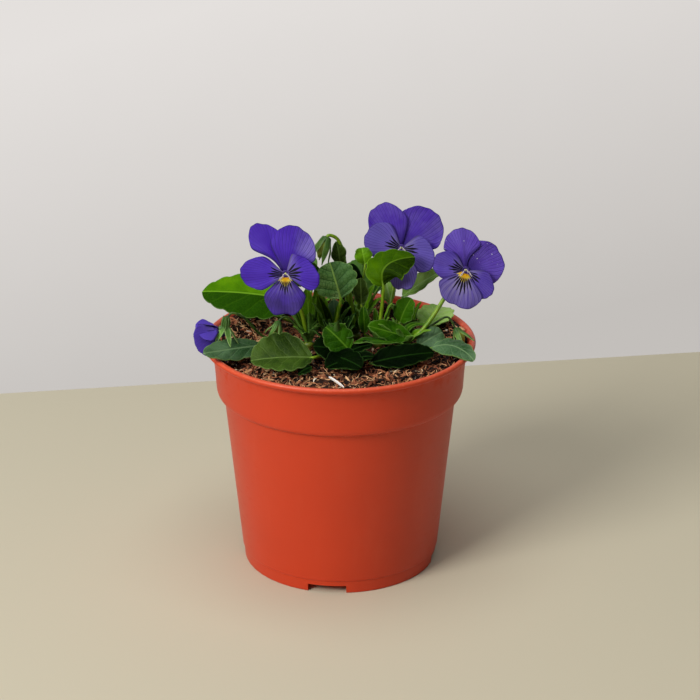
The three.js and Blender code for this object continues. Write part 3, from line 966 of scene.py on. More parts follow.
@dataclass(frozen=True)
class PetalFinish(Finish):
    """A velvety violet-blue petal with radiating veins, and its kind's own markings.

    Pallor is how strongly the ground colour shows round the eye, out to glow, and ink is how far
    the dark lines reach on the lower petal, both in millimetres. The pitch of the lines is the
    share of the petal's half width from one line to the next.
    """

    title: str
    kind: PetalKind
    body: Colour
    deep: Colour
    pale: Colour
    faded: Colour = srgb(118, 104, 176)
    fade: float = 0.0
    specks: float = 0.0
    pallor: float = 0.35
    glow: float = 9.5
    ink: float = 8.2
    ground: Colour = srgb(148, 138, 178)
    speck: Colour = srgb(235, 232, 245)
    line: Colour = srgb(10, 4, 26)
    eye_edge: Colour = srgb(212, 190, 58)
    eye: Colour = srgb(204, 148, 0)
    whisker_pitch: float = 0.34
    whisker: float = 7.2
    lower_pitch: float = 0.22

    def make(self, graph: Graph) -> Material:
        """Fine stripes fan out from the throat and fork, with markings by the petal's kind.

        Args:
            graph: The material's empty graph.

        Returns:
            The material.
        """
        across, reach = graph.attribute("across"), graph.attribute("reach")
        spread, rim = graph.attribute("spread"), graph.attribute("rim")
        back, along = graph.attribute("back"), graph.attribute("along")
        clouds = graph.noise(6, 3)
        wander = (graph.noise(3.0, 2) - 0.5) * 0.07
        fan = across + wander
        coarse = abs((fan * 7.0).fraction() - 0.5).step(0.38, 0.5)
        forked = abs((fan * 14.0 + 0.25).fraction() - 0.5).step(0.34, 0.5)
        veins = coarse.most(forked * along.step(0.4, 0.7) * 0.8)
        colour = graph.mix(clouds.step(0.3, 0.7) * 0.5, self.body, self.pale)
        if self.fade:
            faded = across.step(0.25, -0.45) * along.step(0.3, 0.75)
            colour = graph.mix(faded * clouds.step(0.2, 0.6) * self.fade, colour, self.faded)
        colour = graph.mix(veins * 0.6, colour, self.deep)
        colour = graph.mix(rim.step(0.5, 0.1) * 0.75, colour, self.deep)
        colour = self.markings(graph, colour, fan, reach, spread)
        if self.specks:
            dots = graph.cells(3.4).step(0.9, 1.15)
            grains = graph.noise(0.9, 1).step(0.7, 0.75)
            place = abs(reach - 9.0).step(5.0, 3.0) * across.step(-0.45, -0.1)
            colour = graph.mix(grains.most(dots) * place * self.specks, colour, self.speck)
        colour = graph.mix(back * 0.45, colour, self.pale)
        relief = 0.5 - veins * 0.25 + graph.noise(0.3, 2) * 0.25
        return graph.surface(
            Base_Color=colour, Roughness=0.62 - clouds * 0.1, Normal=graph.bump(relief, 0.12),
            Specular_IOR_Level=0.14, Sheen_Weight=0.08, Sheen_Roughness=0.4,
            Subsurface_Weight=0.1, Subsurface_Radius=(0.4, 0.3, 1.0), Subsurface_Scale=0.5 * MM,
        )

    def lines(self, fan: Value, reach: Value, spread: Value, pitch: float, longest: float) -> Value:
        """Dark lines that fan out and taper, each ending at its own length.

        Args:
            fan: The place across the petal, from -1 to 1.
            reach: The distance from the throat in millimetres.
            spread: Half the petal's width there in millimetres.
            pitch: The share of the half width from one line to the next.
            longest: How far the middle line reaches.

        Returns:
            How much of the line's colour shows.
        """
        shorter_by = 0.13 * longest
        place = fan / pitch + 0.5
        line = place.whole()
        offside = abs(place.fraction() - 0.5) * pitch * spread
        shuffle = (line * 2.7).sine()
        length = longest - abs(line) * shorter_by + shuffle * 0.9
        left = (length - reach) / longest
        thick = (left.most(0) * 1.1 + 0.05).least(spread * (0.42 * pitch))
        return (thick - offside).step(-0.05, 0.06) * left.step(0.0, 0.08)

    def markings(
        self, graph: Graph, colour: Socket, fan: Value, reach: Value, spread: Value
    ) -> Socket:
        """The markings of the petal's kind.

        An upper petal is darker at its base, a side petal has whiskers, and the lower petal has the
        yellow eye with longer lines over it.

        Args:
            graph: The graph of the petal's material.
            colour: The petal's colour without markings.
            fan: The place across the petal, from -1 to 1.
            reach: The distance from the throat in millimetres.
            spread: Half the petal's width there in millimetres.

        Returns:
            The colour with the markings on it.
        """
        if self.kind is PetalKind.UPPER:
            return graph.mix(reach.step(10.0, 1.5) * 0.8, colour, self.deep)
        if self.kind is PetalKind.SIDE:
            colour = graph.mix(reach.step(6.5, 1.2) * 0.35, colour, self.ground)
            whiskers = self.lines(fan, reach, spread, self.whisker_pitch, self.whisker)
            whiskers = whiskers * abs(fan).step(0.8, 0.7) * reach.step(0.9, 1.5)
            return graph.mix(whiskers, colour, self.line)
        glow = reach.step(self.glow, 2.5) * abs(fan).step(1.0, 0.45)
        beside = abs((fan / self.lower_pitch).fraction() - 0.5)
        colour = graph.mix(glow * beside.step(0.46, 0.1) * self.pallor, colour, self.ground)
        ragged = reach + beside * 2.6 + abs(fan) * spread * 0.95
        yellow = graph.mix(ragged.step(5.0, 3.0), self.eye_edge, self.eye)
        colour = graph.mix(ragged.step(5.4, 4.7), colour, yellow)
        ink = self.lines(fan, reach, spread, self.lower_pitch, self.ink)
        ink = ink * abs(fan).step(0.95, 0.85) * reach.step(2.2, 3.4)
        return graph.mix(ink, colour, self.line)


@dataclass(frozen=True)
class TintFinish(Finish):
    """A small part in one soft colour that clouds over to a second."""

    title: str
    first: Colour
    second: Colour
    rough: float = 0.5
    size: float = 0.8

    def make(self, graph: Graph) -> Material:
        """Two colours mixed by noise.

        Args:
            graph: The material's empty graph.

        Returns:
            The material.
        """
        clouds = graph.noise(self.size, 2)
        colour = graph.mix(clouds.step(0.35, 0.65), self.first, self.second)
        return graph.surface(
            Base_Color=colour, Roughness=self.rough + clouds * 0.1, Normal=graph.bump(clouds, 0.05),
            Specular_IOR_Level=0.4, Subsurface_Weight=0.15, Subsurface_Radius=(0.8, 0.8, 0.5),
            Subsurface_Scale=0.4 * MM,
        )


@dataclass(frozen=True)
class StageFinish(Finish):
    """A matt surface of the stage with painted light: lighter on one side than on the other."""

    title: str
    near: Colour
    far: Colour
    across: float
    up: float
    start: float = 0.5
    glow: float = 0.0

    def make(self, graph: Graph) -> Material:
        """A straight fade of painted light from near to far, by so much a metre across and upward.

        Where it glows with painted light, the light that falls on it counts for less by the same
        share.

        Args:
            graph: The material's empty graph.

        Returns:
            The material.
        """
        split = graph.node("ShaderNodeSeparateXYZ", inputs={0: graph.place})
        x, z = Value(graph, split.outputs["X"]), Value(graph, split.outputs["Z"])
        share = x * self.across + z * self.up + self.start
        paper = graph.noise(60, 3)
        colour = graph.mix(share + (paper - 0.5) * 0.05, self.near, self.far)
        body = graph.mix(self.glow, colour, (0.0, 0.0, 0.0))
        return graph.surface(
            Base_Color=body, Roughness=0.85, Specular_IOR_Level=0.2 * (1 - self.glow),
            Emission_Color=colour, Emission_Strength=self.glow,
        )


LIME = LeafFinish(
    "leaf_lime", srgb(70, 108, 0), srgb(44, 78, 0), srgb(76, 112, 8), rib=srgb(88, 122, 24),
    edge=srgb(112, 152, 28), shaded=srgb(24, 46, 0), side=-1, vein_strength=0.3, net=0.1,
    margin=0.6, shine=0.03,
)
# Painted shade: the lower half of this blade is painted dark, where it faces away from the light
HALF_SHADED = LeafFinish(
    "leaf_half_shaded", srgb(92, 140, 6), srgb(66, 114, 2), srgb(84, 134, 20), rib=srgb(112, 160, 36),
    shaded=srgb(28, 66, 0), vein_strength=0.14, net=0.06, margin=0.3, pairs=6, gloss=0.5,
    shine=0.02,
)
GRASS = LeafFinish(
    "leaf_grass", srgb(54, 102, 3), srgb(20, 58, 1), srgb(72, 120, 22), rib=srgb(90, 134, 32),
    vein_strength=0.3, net=0.15, margin=0.3, shine=0.05,
)
OLIVE = LeafFinish(
    "leaf_olive", srgb(68, 96, 25), srgb(30, 54, 5), srgb(88, 114, 44), rib=srgb(104, 132, 62),
    vein_strength=0.35, net=0.2, margin=0.45, gloss=0.4, shine=0.14,
)
GREY = LeafFinish(
    "leaf_grey", srgb(88, 122, 82), srgb(40, 78, 36), srgb(106, 140, 96), rib=srgb(114, 146, 98),
    vein_strength=0.3, net=0.25, margin=0.45, gloss=0.4,
)
BLUE = LeafFinish(
    "leaf_blue", srgb(146, 186, 110), srgb(82, 130, 58), srgb(34, 78, 24), rib=srgb(150, 188, 90),
    shaded=srgb(76, 114, 58), side=-1, vein_strength=0.75, net=0.6, margin=0.4, pairs=4.5,
    shine=0.12,
)
# Painted shade: leaves deep in the plant's shade, coloured nearly black, with a painted highlight
# along their paler edge
DEEP_SHADE = LeafFinish(
    "leaf_painted_shade", srgb(5, 20, 1), srgb(1, 8, 0), srgb(14, 34, 7), rib=srgb(26, 54, 14),
    edge=srgb(48, 80, 32), vein_strength=0.2, net=0.1, margin=0.4, gloss=0.5, shine=0.02,
)
MINT = LeafFinish(
    "leaf_mint", srgb(180, 218, 116), srgb(140, 190, 76), srgb(192, 224, 146),
    vein_strength=0.35, net=0.15, margin=0.3, shine=0.12,
)
STIPULE = LeafFinish(
    "stipule", srgb(102, 154, 12), srgb(38, 80, 2), srgb(116, 164, 40),
    vein_strength=0.2, net=0.0, margin=0.3, pairs=2, shine=0.06,
)


# The plant's parts

# A leaf that is narrower than this has one scallop fewer
SMALL_LEAF = 9

# The petiole's thickness, at shares of its length, and how far it runs on under the midrib
PETIOLE_PLACES = (0, 0.3, 0.48, 0.6, 1)
PETIOLE_WIDTHS = (0.95, 0.8, 0.66, 0.5, 0.12)
PETIOLE_END = 0.62
PETIOLE_ROWS = 16

# Rows and columns of the small blades
YOUNG_ROWS, YOUNG_COLUMNS = 26, 11
SEPAL_ROWS, SEPAL_COLUMNS = 26, 13
BUD_SEPAL_ROWS, BUD_SEPAL_COLUMNS = 24, 11
BUD_SEPALS = 5

# How long a bud's furled petals are, as a share of its sepals
BUD_BODY = 0.86

# The hairs of a beard
HAIRS = 84
HAIR_RINGS, HAIR_SIDES = 4, 4
HAIR_RADIUS = 0.085

# Ranges of the stipules round a crown: degrees from the level, least length, width and fold.
# The last one is the way that the low young leaves face
TUFT_RISE = (38, 80)
TUFT_LEAST = 7
TUFT_WIDTH = (2.4, 4.6)
TUFT_FOLD = (8, 26)
LOW_FACE = (0, -0.5, 0.87)

# The rings of a stem below its leaves
POST_RINGS = 30


@dataclass(frozen=True)
class Leaf:
    """One leaf: a crenate ovate blade along a curved midrib, on a petiole from the crown.

    The base and tip are the ends of the midrib, the face is the direction that the upper side
    looks in, and mid is the point that pulls the midrib. The widest place is a share of the midrib.
    """

    base: Point
    tip: Point
    face: Point
    width: float
    finish: LeafFinish
    mid: Point | None = None
    fold: float = 10.0
    arch: float = 1.0
    scallops: int = 0
    wave: float = 0.4
    tip_power: float = 0.55
    petiole: bool = True
    rows: int = 64
    columns: int = 33
    widest: float = 0.45
    base_power: float = 0.7
    tooth: float = 0.135
    tooth_power: float = 0.6

    def midrib(self, shares: Array) -> tuple[Array, Array]:
        """The midrib's points and directions: a quadratic curve pulled towards mid or arched up.

        Args:
            shares: Places along the blade, from 0 to 1.

        Returns:
            The points and the unit directions.
        """
        start, end = np.array(self.base), np.array(self.tip)
        look = unit(np.array(self.face))
        bend = np.array(self.mid) if self.mid else (start + end) / 2 + 2 * self.arch * look
        return bezier(start, bend, end, shares)

    def blade(self, shape: Shape) -> None:
        """Adds the blade to a shape.

        The rows lie at e = 0.55u + 0.225(1 - cos pi u), with u an even share, and the midrib is
        followed as s = 0.6e + 0.2(1 - cos pi e), so that rows and scallops are closer at both ends.
        Half the width is half of width x (1 - away2) to a power, where away is the share of the way
        from the widest place to that end. Round teeth cut the edge as |sin(pi e scallops)| to a
        power. The halves are lifted by the fold, the edges wave as sin(3 pi s), the midrib and the
        side veins are sunk, and the blade swells between them.

        Args:
            shape: The shape that receives the blade.
        """
        scallops = self.scallops or (3 if self.width < SMALL_LEAF else 4)
        even = np.linspace(0, 1, self.rows)
        rows = 0.55 * even + 0.225 * (1 - np.cos(math.pi * even))
        across = np.linspace(-1, 1, self.columns)
        e, t = np.meshgrid(rows, np.sign(across) * np.abs(across) ** 0.85, indexing="ij")
        s = 0.6 * e + 0.2 * (1 - np.cos(math.pi * e))
        points, along = self.midrib(s)
        side = unit(np.cross(along, unit(np.array(self.face))))
        normal = np.cross(side, along)
        below, widest = s < self.widest, self.widest
        away = np.where(below, (widest - s) / widest, (s - widest) / (1 - widest))
        outline = np.maximum(1 - away * away, 0) ** np.where(below, self.base_power, self.tip_power)
        phase = self.base[0] * 1.7 + self.base[1] * 2.3
        uneven = 0.02 * np.sin(11 * e + phase + 2 * np.sign(t))
        round_teeth = np.abs(np.sin(math.pi * (e * scallops + 0.08 * t * np.sin(phase))))
        teeth = 0.91 + self.tooth * round_teeth ** self.tooth_power
        least = np.where(s < 0.5, 0.1, 0.03)
        half = self.width / 2 * np.maximum(outline * (teeth + uneven), least)
        rib = np.abs(t) * half
        softly = np.sqrt(t * t + 0.01) - 0.1
        lift = softly * half * math.sin(math.radians(self.fold))
        lift += self.wave * np.sin(3 * math.pi * s + np.where(t > 0, 1, 0)) * t * t
        lift += 0.18 * np.sin(2 * math.pi * e * scallops + phase) * t ** 4
        vein = (e - VEIN_SWEEP * np.abs(t) ** VEIN_BEND) * self.finish.pairs
        quilt = np.cos(2 * math.pi * (vein + 0.5)) * (1 - t ** 4) * smooth(0.3, 1.6, rib)
        lift += 0.02 * self.width / 2 * quilt * (1 - 0.5 * e)
        lift -= 0.2 * np.exp(-((rib / 0.7) ** 2)) * (1 - 0.6 * s)
        spread = (t * half * math.cos(math.radians(self.fold)))[..., None]
        middle = points + side * spread + normal * lift[..., None]
        thick = 0.13 + 0.07 * (1 - t * t) + 0.12 * np.exp(-((rib / 0.6) ** 2)) * (1 - s)
        faces = blade(middle, thick * smooth(0, 0.04, 1 - s) + 0.04)
        rim = (1 - np.abs(t)) * half
        values = both_faces({"across": t, "along": e, "rib": rib, "rim": rim})
        back = np.stack([np.ones_like(t), np.zeros_like(t)])
        shape.add(*faces, **values, back=back)

    def stalk(self, shape: Shape, root: Array) -> None:
        """Adds the petiole, which thins from the crown and runs out under the midrib.

        Args:
            shape: The shape that receives it.
            root: Where it starts.
        """
        start = np.array(self.base)
        pull = np.array(self.mid or self.tip) - start
        path = spline([root, start - 0.6 * unit(pull)], SPLINE_STEPS)
        shares = np.linspace(0, PETIOLE_END, PETIOLE_ROWS)
        rib, along = self.midrib(shares)
        look = unit(np.array(self.face))
        down = np.cross(unit(np.cross(along, look)), along)
        rib = rib - down * (0.35 - 0.2 * shares)[:, None]
        path = np.vstack([path, rib[1:]])
        radius = np.interp(np.linspace(0, 1, len(path)), PETIOLE_PLACES, PETIOLE_WIDTHS)
        radius = radius * PETIOLE_RADIUS * np.clip(self.width / 12, 0.75, 1.1)
        shape.add(*tube(path, radius))


@dataclass(frozen=True)
class Petal:
    """One petal, which fans out from the throat in its flower's own frame.

    The angle is the petal's direction in degrees, anticlockwise from the flower's right. The lean
    is how far it tips forward in degrees, and the layer is how far forward its foot lies.
    """

    angle: float
    length: float
    width: float
    lean: float
    layer: float
    kind: PetalKind
    curl: float = 0.0
    notch: float = 0.0
    skew: float = 0.0
    claw: float = 1.35
    fade: float = 0.0
    ruffle: float = 1.0
    rows: int = 52
    columns: int = 45

    def surface(self) -> tuple[Array, dict[str, Array]]:
        """The petal's middle surface.

        The reach along the petal is length x s x (1 - 0.4 |t| to the 2.6 - notch + skew x t), and
        the place across it is half of width x t x (0.1 + 0.9 sin(pi/2 s to the claw)), so that a
        larger claw makes a narrower foot. Beyond the hub the petal leans forward, its end curls,
        waves ruffle it and shallow grooves run along its veins.

        Returns:
            The points in the flower's frame, and the named values on them.
        """
        s = np.linspace(0.05, 1, self.rows)[:, None] ** 0.85
        t = np.sin(np.linspace(-1, 1, self.columns) * math.pi / 2)[None] * np.ones_like(s)
        s = s * np.ones_like(t)
        ripple = 0.012 * np.sin(6.3 * t + self.angle) + 0.008 * np.sin(15 * t + 2 * self.angle)
        end = 1 - 0.4 * np.abs(t) ** 2.6 - self.notch * np.exp(-((t / 0.3) ** 2)) + self.skew * t
        end = end + ripple * (1 - t * t)
        reach = self.length * s * end
        spread = self.width / 2 * (0.1 + 0.9 * np.sin(math.pi / 2 * s ** self.claw))
        across = spread * t * (1 - 0.13 * s ** 6 * t ** 4)
        bend = self.curl * s * s + 0.3 * self.ruffle * s * np.sin(5 * t + self.angle)
        bend += 0.32 * self.ruffle * s ** 3 * np.sin(9 * t + 0.6 * self.angle) * (0.3 + t * t)
        bend += 0.05 * np.cos(2 * math.pi * 7 * t) * smooth(0.15, 0.5, s)
        bend -= 1.1 * np.exp(-((reach / 1.7) ** 2))
        lean = math.radians(self.lean)
        beyond = np.maximum(reach - HUB_RADIUS, 0)
        out = reach - beyond * (1 - math.cos(lean))
        height = self.layer + beyond * math.sin(lean) + bend
        points = fanned(out, across, height, math.radians(self.angle))
        rim = np.minimum((1 - np.abs(t)) * spread, (1 - s) * self.length)
        return points, {"across": t, "along": s, "reach": reach, "spread": spread, "rim": rim}


@dataclass(frozen=True)
class Tone:
    """The colours of one flower's petals, and how strong and long their markings are."""

    name: str
    upper: Colour
    side: Colour
    lower: Colour
    deep: Colour
    pale: Colour
    specks: float = 0.0
    pallor: float = 0.45
    glow: float = 9.5
    ink: float = 8.2

    def finish(self, petal: Petal) -> PetalFinish:
        """The finish of one of the flower's petals.

        Args:
            petal: The petal.

        Returns:
            Its finish.
        """
        body = {
            PetalKind.UPPER: self.upper, PetalKind.SIDE: self.side, PetalKind.LOWER: self.lower,
        }[petal.kind]
        title = f"petal_{self.name}_{petal.kind.value}" + ("_faded" if petal.fade else "")
        specks = self.specks if petal.kind is PetalKind.UPPER else 0.0
        return PetalFinish(
            title, petal.kind, body, self.deep, self.pale, fade=petal.fade, specks=specks,
            pallor=self.pallor, glow=self.glow, ink=self.ink,
        )


@dataclass(frozen=True)
class Flower:
    """One flower: its place, its petals, its calyx and the stalk that it hangs from.

    Via holds the points that the stalk passes, and the hook is how far the stalk stands off above
    the receptacle. Thin, beard and spur_size are shares of the usual size. With a sepal axis the
    sepals hang round that axis, and not round the flower's own.
    """

    name: str
    throat: Point
    face: Point
    via: tuple[Point, ...]
    petals: tuple[Petal, ...]
    tone: Tone
    sepal: float = 7.5
    sepal_lean: float = -38.0
    hook: float = 1.6
    beard: float = 1.0
    thin: float = 1.0
    spur_size: float = 1.0
    sepal_axis: Point | None = None
    sepal_angles: tuple[float, ...] = SEPAL_ANGLES

    def axes(self) -> Array:
        """The flower's right, up and forward directions as the columns of a matrix."""
        forward = unit(np.array(self.face))
        right = unit(np.cross([0.0, 0.0, 1.0], forward))
        return np.stack([right, np.cross(forward, right), forward], axis=-1)

    def world(self, points: Array) -> Array:
        """Points of the flower's frame in the part's frame."""
        return points @ self.axes().T + np.array(self.throat)

    def corolla(self) -> list[Object]:
        """Builds the petals, and the throat with its beard, style and spur.

        Returns:
            The new objects.
        """
        node = f"corolla_{self.name}"
        made = []
        for number, petal in enumerate(self.petals):
            middle, values = petal.surface()
            half = 0.13 * smooth(0, 0.5, values["rim"]) + 0.05
            points, faces = blade(middle, half)
            back = np.stack([np.zeros_like(half), np.ones_like(half)])
            shape = Shape()
            shape.add(self.world(points), faces, **both_faces(values), back=back)
            title = f"petal_{self.name}_{number + 1}"
            made.append(Piece(title, shape, self.tone.finish(petal), "petal", (node,)).build())
        parts = (
            ("throat", self.hub(), THROAT), ("spur", self.spur(), SPUR),
            ("style", self.style(), STYLE), ("beard", self.beards(), BEARD),
        )
        for kind, shape, finish in parts:
            made.append(Piece(f"{kind}_{self.name}", shape, finish, "petal", (node,)).build())
        return made

    def placed(self, points: Array, faces: Faces) -> Shape:
        """A shape of points and faces that are given in the flower's frame."""
        shape = Shape()
        shape.add(self.world(points), faces)
        return shape

    def hub(self) -> Shape:
        """The short thick ring behind the petals, where they are joined."""
        profile = [(0, 0.15), (1.7, 0.15), (1.95, 0.9), (1.5, 1.7), (0.5, 1.2), (0, 1.1)]
        return self.placed(*lathe(rounded(profile, 0.4), HUB_SIDES))

    def spur(self) -> Shape:
        """The nectar spur, a blunt tube that curves back and down from the lower petal."""
        path = spline([(0, -1.4, 1.2), (0, -3.8, -0.4), (0, -4.2, -3.4), (0, -3.6, -6.4)], 9)
        path = path[0] + (path - path[0]) * self.spur_size
        share = np.linspace(0, 1, len(path))
        radius = 1.05 * (1 - smooth(0.9, 1.0, share) * 0.65) * (1 - 0.25 * np.sin(math.pi * share))
        return self.placed(*tube(path, radius, FLOWER_SIDES))

    def style(self) -> Shape:
        """The style's round head with its short beak, between the bases of the petals."""
        bend = np.linspace(0, 1, 14)
        path = np.stack([0 * bend, 0.6 - 0.5 * bend, 1.3 + 1.2 * bend], axis=-1)
        radius = 0.22 + 0.26 * np.exp(-(((bend - 0.72) / 0.2) ** 2))
        radius = radius * (1 - 0.75 * smooth(0.86, 1.0, bend))
        return self.placed(*tube(path, radius, FLOWER_SIDES))

    def beards(self) -> Shape:
        """Two tufts of pale hairs at the bases of the side petals, which meet over the eye.

        Each hair is a thin four-sided cone along a quadratic curve from its root to a point lower,
        further in and further forward, all worked out as one array.

        Returns:
            The tufts.
        """
        draw = np.random.default_rng(SEED + int(abs(self.throat[0]) * 10))
        flip = np.where(np.arange(HAIRS) % 2 == 0, 1.0, -1.0)
        out = draw.uniform(0.25, 2.1, HAIRS)
        drop = draw.uniform(-0.2, 0.3, HAIRS)
        forward = draw.uniform(2.2, 2.6, HAIRS)
        root = np.stack([flip * out, 0.75 - 1.15 * out + drop, forward], axis=-1)
        size = draw.uniform(0.45, 0.9, HAIRS)
        lean = np.stack([
            flip * draw.uniform(-0.2, 0.4, HAIRS), draw.uniform(-0.8, -0.3, HAIRS),
            draw.uniform(0.2, 0.7, HAIRS),
        ], axis=-1)
        tip = root + unit(lean) * (size * self.beard)[:, None]
        middle = (root + tip) / 2 + np.array([0, 0.18, 0.1])
        s = np.linspace(0, 1, HAIR_RINGS)[None, :, None]
        path = curve(root[:, None], middle[:, None], tip[:, None], s)
        turns = around(HAIR_SIDES)
        ring = np.stack([np.cos(turns), np.sin(turns), 0.35 * np.cos(turns)], axis=-1)
        radius = (HAIR_RADIUS * (1 - 0.75 * s))[..., None]
        points = path[:, :, None] + radius * ring[None, None]
        return self.placed(points, repeated(points))

    def calyx(self, sepals: Shape, stalks: Shape, root: Array) -> None:
        """Adds the sepals, the receptacle and the flower's stalk.

        Args:
            sepals: The shape that receives the sepals.
            stalks: The shape that receives the receptacle and the stalk.
            root: Where the stalk starts, at the crown.
        """
        back = -0.5 * GAP
        profile = rounded([
            (0, back - RECEPTACLE_LENGTH), (STALK_RADIUS, back - RECEPTACLE_LENGTH),
            (HUB_RADIUS * 0.9, back - 1.5), (HUB_RADIUS, back - 0.1), (0, back),
        ], 0.8)
        points, faces = lathe(profile, CALYX_SIDES)
        if self.sepal_axis:
            sepals.add(self.world(points * np.array([0.6, 0.6, 1])), faces, across=0.0, along=0.0)
        else:
            stalks.add(self.world(points), faces)
        for angle in self.sepal_angles:
            self.sepal_blade(sepals, angle, back - 1)
        hook = self.world(np.array([[0, self.hook, -7.2], [0, 0, -2.2]]))
        path = spline(np.vstack([root, *self.via, hook]), SPLINE_STEPS)
        radius = self.thin * STALK_RADIUS * (1.05 - 0.25 * np.linspace(0, 1, len(path)))
        stalks.add(*tube(path, radius, STALK_SIDES))

    def sepal_blade(self, shape: Shape, angle: float, layer: float) -> None:
        """Adds a sepal: a lance that leaves the receptacle, with a short round lobe behind it.

        Half its width is 1.3 x (1 - s to the 2.4) to the 0.8, with s the share of its length, and
        the lobe behind the root is a half circle. The tip bends forward as s2.

        Args:
            shape: The shape that receives the sepal.
            angle: The sepal's direction round the receptacle in degrees.
            layer: How far forward its root lies in the flower's frame.
        """
        s, t = lattice(SEPAL_ROWS, SEPAL_COLUMNS, -0.22)
        lance = np.clip(1 - np.clip(s, 0, 1) ** 2.4, 0, 1) ** 0.8
        lobe = np.sqrt(np.clip(1 - (np.clip(-s, 0, 1) / 0.225) ** 2, 0, 1))
        across = 1.3 * t * lance * lobe + 0.02 * t
        reach = 0.8 + self.sepal * s
        lean = math.radians(self.sepal_lean)
        out = np.where(s > 0, reach * math.cos(lean), 0.9)
        out = np.maximum(out, 1.1)
        height = layer + np.where(s > 0, reach * math.sin(lean), self.sepal * s * 1.2 - 0.3)
        height = height + 0.5 * np.clip(s, 0, 1) ** 2 - 0.25 * t * t
        points = fanned(out, across, height, math.radians(angle))
        if self.sepal_axis:
            seat = self.world(np.array([0, 0.9, -RECEPTACLE_LENGTH]))
            axis = unit(np.array(self.sepal_axis))
            side = unit(np.cross(axis, [1.0, 0.0, 0.0]))
            turn = np.stack([np.cross(side, axis), side, axis], axis=-1)
            middle = (points - np.array([0, 0, layer])) @ turn.T + seat
        else:
            middle = self.world(points)
        grid, faces = blade(middle, 0.12 + 0.08 * (1 - t * t) * lance)
        shape.add(grid, faces, **both_faces({"across": t, "along": s}))


@dataclass(frozen=True)
class Bud:
    """A closed bud that hangs from the hook of its stalk, with its sepals along it.

    The seat is where it hangs, points is the direction that it points in, and the spread is how
    far the tips of its sepals stand off.
    """

    seat: Point
    points: Point
    length: float
    width: float
    via: tuple[Point, ...]
    thin: float = 1.0
    spread: float = 0.0

    def build(self, body: Shape, sepals: Shape, stalks: Shape, root: Array) -> None:
        """Adds the bud, its five sepals and its stalk.

        Args:
            body: The shape that receives the furled petals.
            sepals: The shape that receives the sepals.
            stalks: The shape that receives the stalk.
            root: Where the stalk starts, at the crown.
        """
        axis = unit(np.array(self.points))
        turn, seat = turning(axis), np.array(self.seat)
        size, width = self.length, self.width
        profile = rounded([
            (0, -0.6), (0.28 * width, -0.4), (0.48 * width, 0.3 * size),
            (0.34 * width, 0.62 * size), (0.08 * width, 0.84 * size), (0, BUD_BODY * size),
        ], 0.3 * size, 6)
        points, faces = lathe(profile, CALYX_SIDES)
        turns = np.arctan2(points[..., 1], points[..., 0])
        points[..., :2] *= (1 + 0.06 * np.cos(5 * turns + 3 * points[..., 2] / size))[..., None]
        body.add(points @ turn.T + seat, faces, along=points[..., 2] / (BUD_BODY * size))
        for angle in range(0, 360, 360 // BUD_SEPALS):
            self.sepal(sepals, math.radians(angle), turn, seat)
        path = spline([root, *self.via, seat - axis, seat + 0.8 * axis], SPLINE_STEPS)
        stalks.add(*tube(path, self.thin * PETIOLE_RADIUS * np.linspace(1.0, 0.72, len(path))))

    def sepal(self, shape: Shape, angle: float, turn: Array, seat: Array) -> None:
        """Adds a sepal, which swells out with the bud and then closes in, with a pointed tip.

        Args:
            shape: The shape that receives the sepal.
            angle: The sepal's direction round the bud, in radians.
            turn: The matrix that turns +Z to the bud's axis.
            seat: Where the bud hangs.
        """
        s, t = lattice(BUD_SEPAL_ROWS, BUD_SEPAL_COLUMNS)
        swell = 0.2 + 0.46 * np.sin(math.pi * (0.08 + 0.5 * s))
        away = self.width * swell + 0.15 * np.sin(9 * s + angle)
        across = self.width * t * (0.17 + 0.4 * s - 0.5 * s * s) * np.clip(1.02 - s ** 5, 0, 1)
        away = away - 0.25 * t * t + self.spread * s * s
        points = fanned(away, across, self.length * s, angle)
        grid, faces = blade(points @ turn.T + seat, 0.1 + 0.1 * (1 - t * t))
        shape.add(grid, faces, **both_faces({"across": t, "along": s}))


